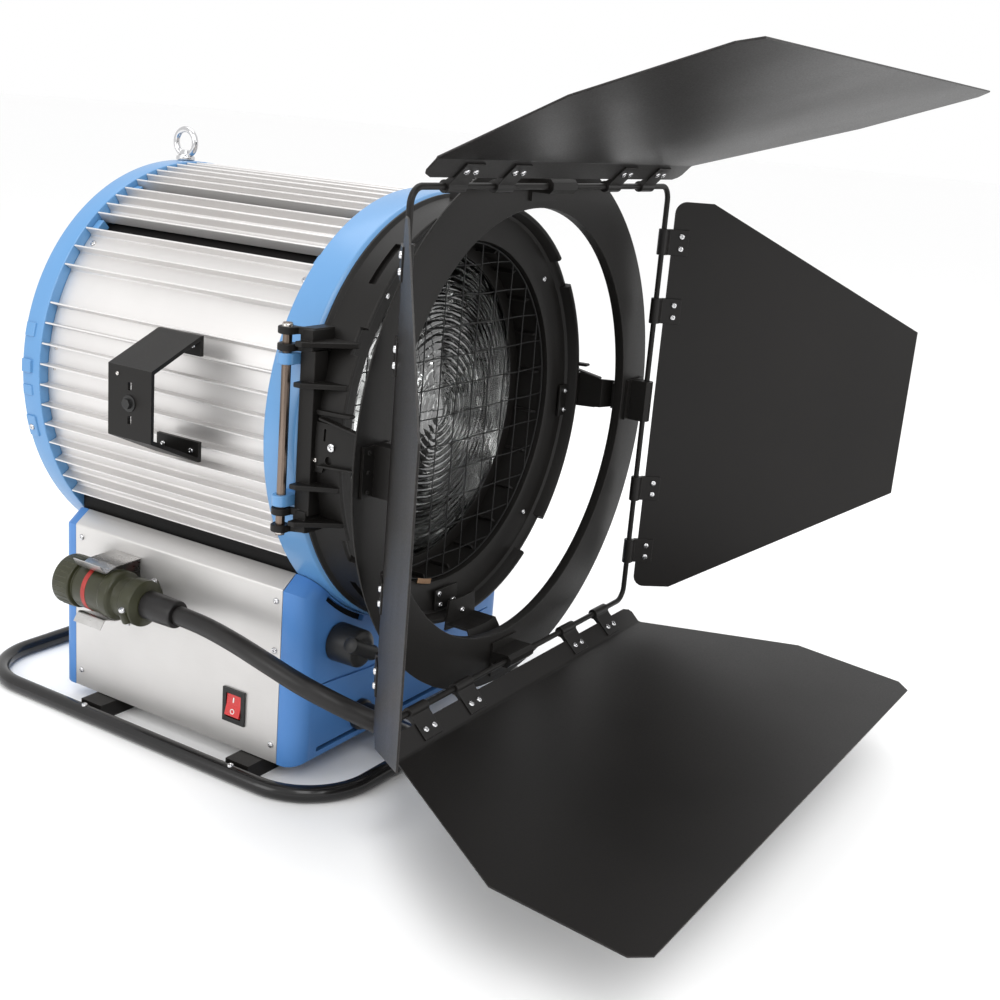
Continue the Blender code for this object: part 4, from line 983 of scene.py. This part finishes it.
def leaf_hardware(name, place, offset):
    """Folded clips round the wire and their screws, on a leaf's own frame (along, out, lift)."""
    nose = arc(0.0052, 32, 328, 20)
    low, high = offset - 0.0023, offset + 0.0023
    outline = nose + [(0.0072, low), (0.0275, low), (0.0275, high), (0.0072, high)]
    clips = bmesh.new()
    heads = []
    for centre in CLIP_SPOTS:
        prism(outline, lambda u, v, w: place(w, u, v), centre - 0.013, centre + 0.013, clips)
        for shift in (-0.0062, 0.0062):
            for lift, sign in ((high, 1), (low, -1)):
                direction = place(0, 0, sign) - place(0, 0, 0)
                heads.append((place(centre + shift, 0.0195, lift), direction))
    piece(name + "_clips", clips, "leaf_paint", name, bevel=0.0005)
    screw_heads(name + "_clip_screws", heads, 0.0030, name)


def tall_leaf(name, up, rise, fold, half_out):
    half_in, widest, depth, chamfer, flange = 0.220, 0.150, 0.277, 0.014, 0.0315
    axis = Vector((0.0, WIRE_Y, LENS_Z + up * WIRE_HALF))
    flange_angle, sheet_angle = radians(rise + up * fold), radians(rise)
    bend_radius = 0.006
    half_bend = bend_radius * tan(radians(fold / 2))
    thick = 0.0015

    def frame_at(angle):
        return Vector((0.0, -cos(angle), sin(angle))), Vector((0.0, sin(angle), cos(angle)))

    out, lift = frame_at(flange_angle)
    near = ((0.0105, half_in - 0.012), (0.0140, half_in - 0.003), (0.0180, half_in))
    rows = [(axis + out * s, lift, half) for s, half in near]
    bend = axis + out * (flange - half_bend)
    centre = bend - lift * (up * bend_radius)
    for k in range(7):
        lift = frame_at(flange_angle + (sheet_angle - flange_angle) * k / 6)[1]
        rows.append((centre + lift * (up * bend_radius), lift, half_in + 0.0004 * k))
    out, lift = frame_at(sheet_angle)
    start = centre + lift * (up * bend_radius) - out * half_bend
    for s, half in ((widest, half_out), (depth - chamfer, half_out), (depth, half_out - chamfer)):
        rows.append((start + out * s, lift, half))
    bm = bmesh.new()
    layers = []
    for t in (-thick / 2, thick / 2):
        left, right = [[bm.verts.new(p + n * t + Vector((side * h, 0, 0))) for p, n, h in rows]
                       for side in (-1, 1)]
        for i in range(len(rows) - 1):
            bm.faces.new([left[i], left[i + 1], right[i + 1], right[i]])
        layers.append(left + list(reversed(right)))
    fill_between(bm, layers)
    piece(name + "_sheet", bm, "leaf_paint", name, [name], angle=40.0, bevel=0.0004)
    out, lift = frame_at(flange_angle)
    leaf_hardware(name, lambda along, o, l: axis + Vector((along, 0, 0)) + out * o + lift * l, 0.0)


def side_leaf(name, side, opened, half_out, drop):
    half_z, straight, depth, corner, offset, thick = 0.206, 0.040, 0.280, 0.012, 0.0030, 0.0015
    angle = radians(opened)
    axis = Vector((side * WIRE_HALF, WIRE_Y, LENS_Z))
    out = Vector((side * sin(angle), -cos(angle), 0.0))
    across = Vector((side * cos(angle), sin(angle), 0.0))
    near = 0.0105
    half = arc(corner, 180, 90, 8, (near + corner, half_z - corner))
    half += [(near + straight, half_z), (near + depth, half_out)]
    outline = [(s, z - drop) for s, z in half + [(s, -z) for s, z in reversed(half)]]

    def place(along, outward_by, lift):
        return axis + Vector((0, 0, along)) + out * outward_by + across * lift

    sheet = prism(outline, lambda u, v, w: place(v, u, w), offset - thick / 2, offset + thick / 2)
    piece(name + "_sheet", sheet, "leaf_paint", name, [name], bevel=0.0004)
    leaf_hardware(name, place, offset)


def barn_doors():
    barn_ring()
    tall_leaf("top_leaf", 1, 18.9, 27.0, 0.287)
    tall_leaf("bottom_leaf", -1, -4.5, 39.0, 0.312)
    side_leaf("left_leaf", -1, 51.0, 0.102, 0.006)
    side_leaf("right_leaf", 1, 40.6, 0.089, 0.0)


# ---------------------------------------------------------------- lamp, knob and the CAD parts that stay

def focus_knob():
    low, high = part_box("focus_knob")
    mid = middle("focus_spindle")
    front, back = low[1], high[1]
    profile = eased([(0.0042, back), (0.0185, back), (0.0178, front + 0.006), (0.0120, front + 0.003),
                     (0.0042, front + 0.003)], 0.0014)
    collar = turned(profile, 48, centre=(mid.x, mid.z))
    span = Vector((0.0185, 0.0, -0.0095))
    points = [Vector((mid.x, front + 0.0068, mid.z)) + span * (k / 14 - 1) for k in range(29)]

    def grip(i):
        t = abs(i / 14 - 1)
        return 0.0075 if t < 0.9 else 0.0075 * sqrt(max(0.15, 1 - ((t - 0.9) / 0.11) ** 2))

    sweep(points, grip, False, 28, collar)
    piece("focus_grip", collar, "black_plastic", "focus_knob", ["focus_knob"])


def lamp_and_mirror():
    low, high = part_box("lamp")
    mid = middle("lamp")
    height = high[2] - low[2]
    r = (high[0] - low[0]) / 2
    envelope = [(0.0, 0.0), (0.42, 0.0), (0.42, 0.19), (0.62, 0.27), (0.86, 0.38), (0.97, 0.48),
                (1.0, 0.58), (0.97, 0.68), (0.86, 0.79), (0.62, 0.90), (0.34, 0.97), (0.0, 1.0)]
    profile = [(r * a, low[2] + height * b) for a, b in envelope]
    bulb = turned(profile, 48, centre=(mid.x, mid.y), axis=along_z)
    piece("lamp_envelope", bulb, "lens_glass", "lamp_carriage", ["lamp"])
    low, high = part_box("reflector")
    back = high[1]
    radius, depth = (high[0] - low[0]) / 2, 0.0150
    steps = 14
    face = [(radius * k / steps, back - depth * (k / steps) ** 2) for k in range(steps + 1)]
    rear = [(r, y - 0.0016) for r, y in reversed(face)]
    bm = turned(face + rear, 96)
    block((-0.010, back - 0.0115, low[2]), (0.010, back - 0.0095, LENS_Z - 0.040), bm)
    piece("spun_reflector", bm, "mirror", "lamp_carriage", ["reflector"])


KEPT = {
    "black_paint": ["side_bracket_left", "side_bracket_right", "bottom_ear", "top_catch", "catch_mount",
                    "frame_bracket_top", "frame_bracket_bottom", "frame_bracket_left", "frame_bracket_right",
                    "skid_crossbar_front", "skid_crossbar_rear"],
    "black_plastic": ["door_screw", "switch_bezel"],
    "red_plastic": ["rocker_switch"],
    "base_sheet": ["base_plate"],
    "zinc_steel": ["ignitor_box", "rail_support_front", "rail_support_rear", "lamp_carriage",
                   "lens_retainer"],
    "bright_steel": ["carriage_rail_left", "carriage_rail_right", "focus_spindle", "catch_pin"],
    # hinge rod: dark steel whose brown tint is a painted reflection
    "rod_steel_painted_reflection": ["hinge_rod"],
    "ceramic": ["lamp_holder"],
}


def keep_cad_parts():
    """Give the CAD parts that stay their finish and softened edges."""
    for kind, names in KEPT.items():
        for name in names:
            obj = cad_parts[name]
            obj.data.materials.clear()
            obj.data.materials.append(MATERIALS[kind])
            if kind in ("black_paint", "black_plastic", "red_plastic"):
                round_edges(obj, 0.0006)


def ear_channel(start, turn):
    """A channel bent round the door that holds the barn doors' lip."""
    outer, inner, lip, rear = 0.2026, 0.2004, 0.2037, -0.1965
    profile = [(outer, rear), (outer, -0.2470), (0.2147, -0.2540), (0.2147, -0.2700), (lip, -0.2700),
               (lip, -0.2680), (0.2125, -0.2680), (0.2125, -0.2610), (lip, -0.2610), (lip, -0.2590),
               (0.2125, -0.2590), (0.2125, -0.2552), (inner, -0.2482), (inner, rear)]
    return turned(profile, 12, start, turn)


def ears():
    """The two side ears with their slots, ribs and screws, and the lower ear's screws."""
    above = [(-0.2000, 0.3520), (-0.2800, 0.3520), (-0.2800, 0.3340), (-0.2560, 0.3375),
             (-0.2440, 0.3398), (-0.2020, 0.3468)]
    below = [(-0.2000, 0.2900), (-0.2800, 0.2900), (-0.2800, 0.3120), (-0.2560, 0.3098),
             (-0.2420, 0.3086), (-0.2060, 0.3058)]
    upper = [(-0.2020, 0.3474), (-0.2440, 0.3404), (-0.2440, 0.3386), (-0.2020, 0.3456)]
    guide = [(-0.1945, 0.3482), (-0.2300, 0.3500), (-0.2312, 0.3516), (-0.2300, 0.3530), (-0.1945, 0.3522)]
    lower = [(-0.2020, 0.3052), (-0.2420, 0.3080), (-0.2420, 0.3098), (-0.2020, 0.3070)]
    for side, name, start, screw_z in ((-1, "left_ear", 174.0, 0.3237), (1, "right_ear", -6.0, 0.3345)):
        near, far = side * 0.2026 - 0.006, side * 0.2026 + 0.006
        slot = block((near, -0.2070, 0.3274), (far, -0.2048, 0.3378))
        hole = rod((near, -0.2110, 0.3117), (far, -0.2110, 0.3117), 0.0036)
        ends = sorted((side * 0.190, side * 0.218))
        ear = plain(name + "_channel", ear_channel(start, 12.0))
        cut(ear, slot, hole, prism(above, along_x, *ends), prism(below, along_x, *ends))
        dress(ear, "black_paint", "lens_door", [name], bevel=0.0005)
        ends = sorted((side * 0.2000, side * 0.2066))
        ribs = prism(upper, along_x, *ends)
        prism(guide, along_x, side * 0.1985 - 0.0035, side * 0.1985 + 0.0035, ribs)
        prism(lower, along_x, *ends, ribs)
        piece(name + "_ribs", ribs, "black_paint", "lens_door", bevel=0.0005)
        head, pin = (side * 0.2027, -0.2141, screw_z), (side * 0.2027, -0.1975, 0.3100)
        screw_heads(name + "_screw", [(head, (side, 0, 0))], 0.0040, "lens_door")
        screw_heads(name + "_pin", [(pin, (side, 0, 0))], 0.0020, "lens_door", "bright_steel", False)
    tabs = block((0.1790, -0.2112, 0.2960), (0.1945, -0.2086, 0.3285))
    block((-0.0285, -0.2112, 0.1330), (0.0085, -0.2086, 0.1530), tabs)
    piece("ear_tabs", tabs, "black_paint", "lens_door", bevel=0.0006)
    spots = [(0.1885, -0.2113, 0.3222), (0.1885, -0.2113, 0.3018), (-0.0235, -0.2113, 0.1490),
             (-0.0205, -0.2113, 0.1372), (0.0018, -0.2113, 0.1368), (0.0000, -0.2237, 0.1300)]
    screw_heads("ear_tab_screws", [(spot, (0, -1, 0)) for spot in spots], 0.0030, "lens_door")


def bracket_hardware():
    """The bolt through each side bracket, its small screw and the screws in its feet."""
    for side, name in ((-1, "left"), (1, "right")):
        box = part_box("side_bracket_" + name)
        y, z = middle("side_bracket_" + name).y, middle("side_bracket_" + name).z
        x = box[0][0] if side < 0 else box[1][0]
        washer = eased([(0.0, x + side * 0.0016), (0.0072, x + side * 0.0012),
                        (0.0072, x - side * 0.0010), (0.0, x - side * 0.0010)], 0.0004)
        bolt = turned(washer, 40, centre=(y, z), axis=along_x)
        head = arc(0.0048, 0, 300, 5, (y, z))
        prism(head, along_x, *sorted((x + side * 0.0010, x + side * 0.0048)), bolt)
        piece("bracket_bolt_" + name, bolt, "black_plastic", "lamp_house", bevel=0.0004)
        away = (side, 0, 0)
        small = [((x + side * 0.0001, y + 0.0140, z + 0.0235), away)]
        screw_heads("bracket_screw_" + name, small, 0.0018, "lamp_house", "bright_steel", False)
        corners = [(y + dy, z + dz) for dy in (-0.017, 0.017) for dz in (-0.0470, 0.0470)]
        feet = [((side * 0.2066, *corner), away) for corner in corners]
        screw_heads("bracket_foot_screws_" + name, feet, 0.0026, "lamp_house")


# ---------------------------------------------------------------- stage

CAMERA_YAW, CAMERA_PITCH, CAMERA_ROLL = radians(58.939), radians(15.804), radians(4.893)
CAMERA_PLACE = Vector((-1.0610, -0.8957, 0.5993))
CAMERA_LENS = 49.25


def stage():
    scene = bpy.context.scene
    camera = new_object("camera", bpy.data.cameras.new("camera"))
    camera.data.sensor_width = 36.0
    camera.data.lens = CAMERA_LENS
    run = cos(CAMERA_PITCH)
    forward = Vector((sin(CAMERA_YAW) * run, cos(CAMERA_YAW) * run, -sin(CAMERA_PITCH)))
    level = Vector((cos(CAMERA_YAW), -sin(CAMERA_YAW), 0.0))
    upright = level.cross(forward)
    right = level * cos(CAMERA_ROLL) + upright * sin(CAMERA_ROLL)
    up = upright * cos(CAMERA_ROLL) - level * sin(CAMERA_ROLL)
    turn = Matrix((right, up, -forward)).transposed().to_4x4()
    camera.matrix_world = Matrix.Translation(CAMERA_PLACE) @ turn
    scene.camera = camera

    bm = bmesh.new()
    bmesh.ops.create_grid(bm, x_segments=1, y_segments=1, size=30.0)
    mesh = bpy.data.meshes.new("floor")
    bm.to_mesh(mesh)
    bm.free()
    floor = new_object("floor", mesh)
    floor.location.z = FLOOR_Z
    white = bpy.data.materials.new("floor_white")
    white.use_nodes = True
    sockets = white.node_tree.nodes["Principled BSDF"].inputs
    sockets["Base Color"].default_value = (0.985, 0.985, 0.985, 1.0)
    sockets["Roughness"].default_value = 0.9
    mesh.materials.append(white)

    world = bpy.data.worlds.new("studio")
    world.use_nodes = True
    sockets = world.node_tree.nodes["Background"].inputs
    sockets["Color"].default_value = (1.0, 1.0, 1.0, 1.0)
    sockets["Strength"].default_value = 1.0
    scene.world = world
    scene.view_settings.view_transform = "Standard"
    softbox("key", (-1.3, -1.4, 1.9), (0.0, -0.1, 0.3), 1.4, 24.0)
    softbox("top", (0.3, 0.3, 2.4), (0.0, 0.0, 0.3), 1.8, 18.0)
    softbox("left", (-2.2, 0.7, 1.1), (0.0, 0.0, 0.3), 1.2, 14.0)
    softbox("front", (0.1, -2.1, 0.7), (0.0, 0.0, 0.3), 0.8, 6.0)


def softbox(name, place, target, size, power):
    light = bpy.data.lights.new(name, "AREA")
    light.shape = "SQUARE"
    light.size = size
    light.energy = power
    obj = new_object(name, light)
    obj.location = place
    obj.rotation_euler = (Vector(target) - Vector(place)).to_track_quat("-Z", "Y").to_euler()


stage()
cast_rings()
fin_panels()
rear_cover()
eyebolt()
base()
skid()
switch()
plug()
lens_door()
fresnel_lens()
wire_guard()
barn_doors()
focus_knob()
lamp_and_mirror()
keep_cad_parts()
ears()
bracket_hardware()
parking_clip()
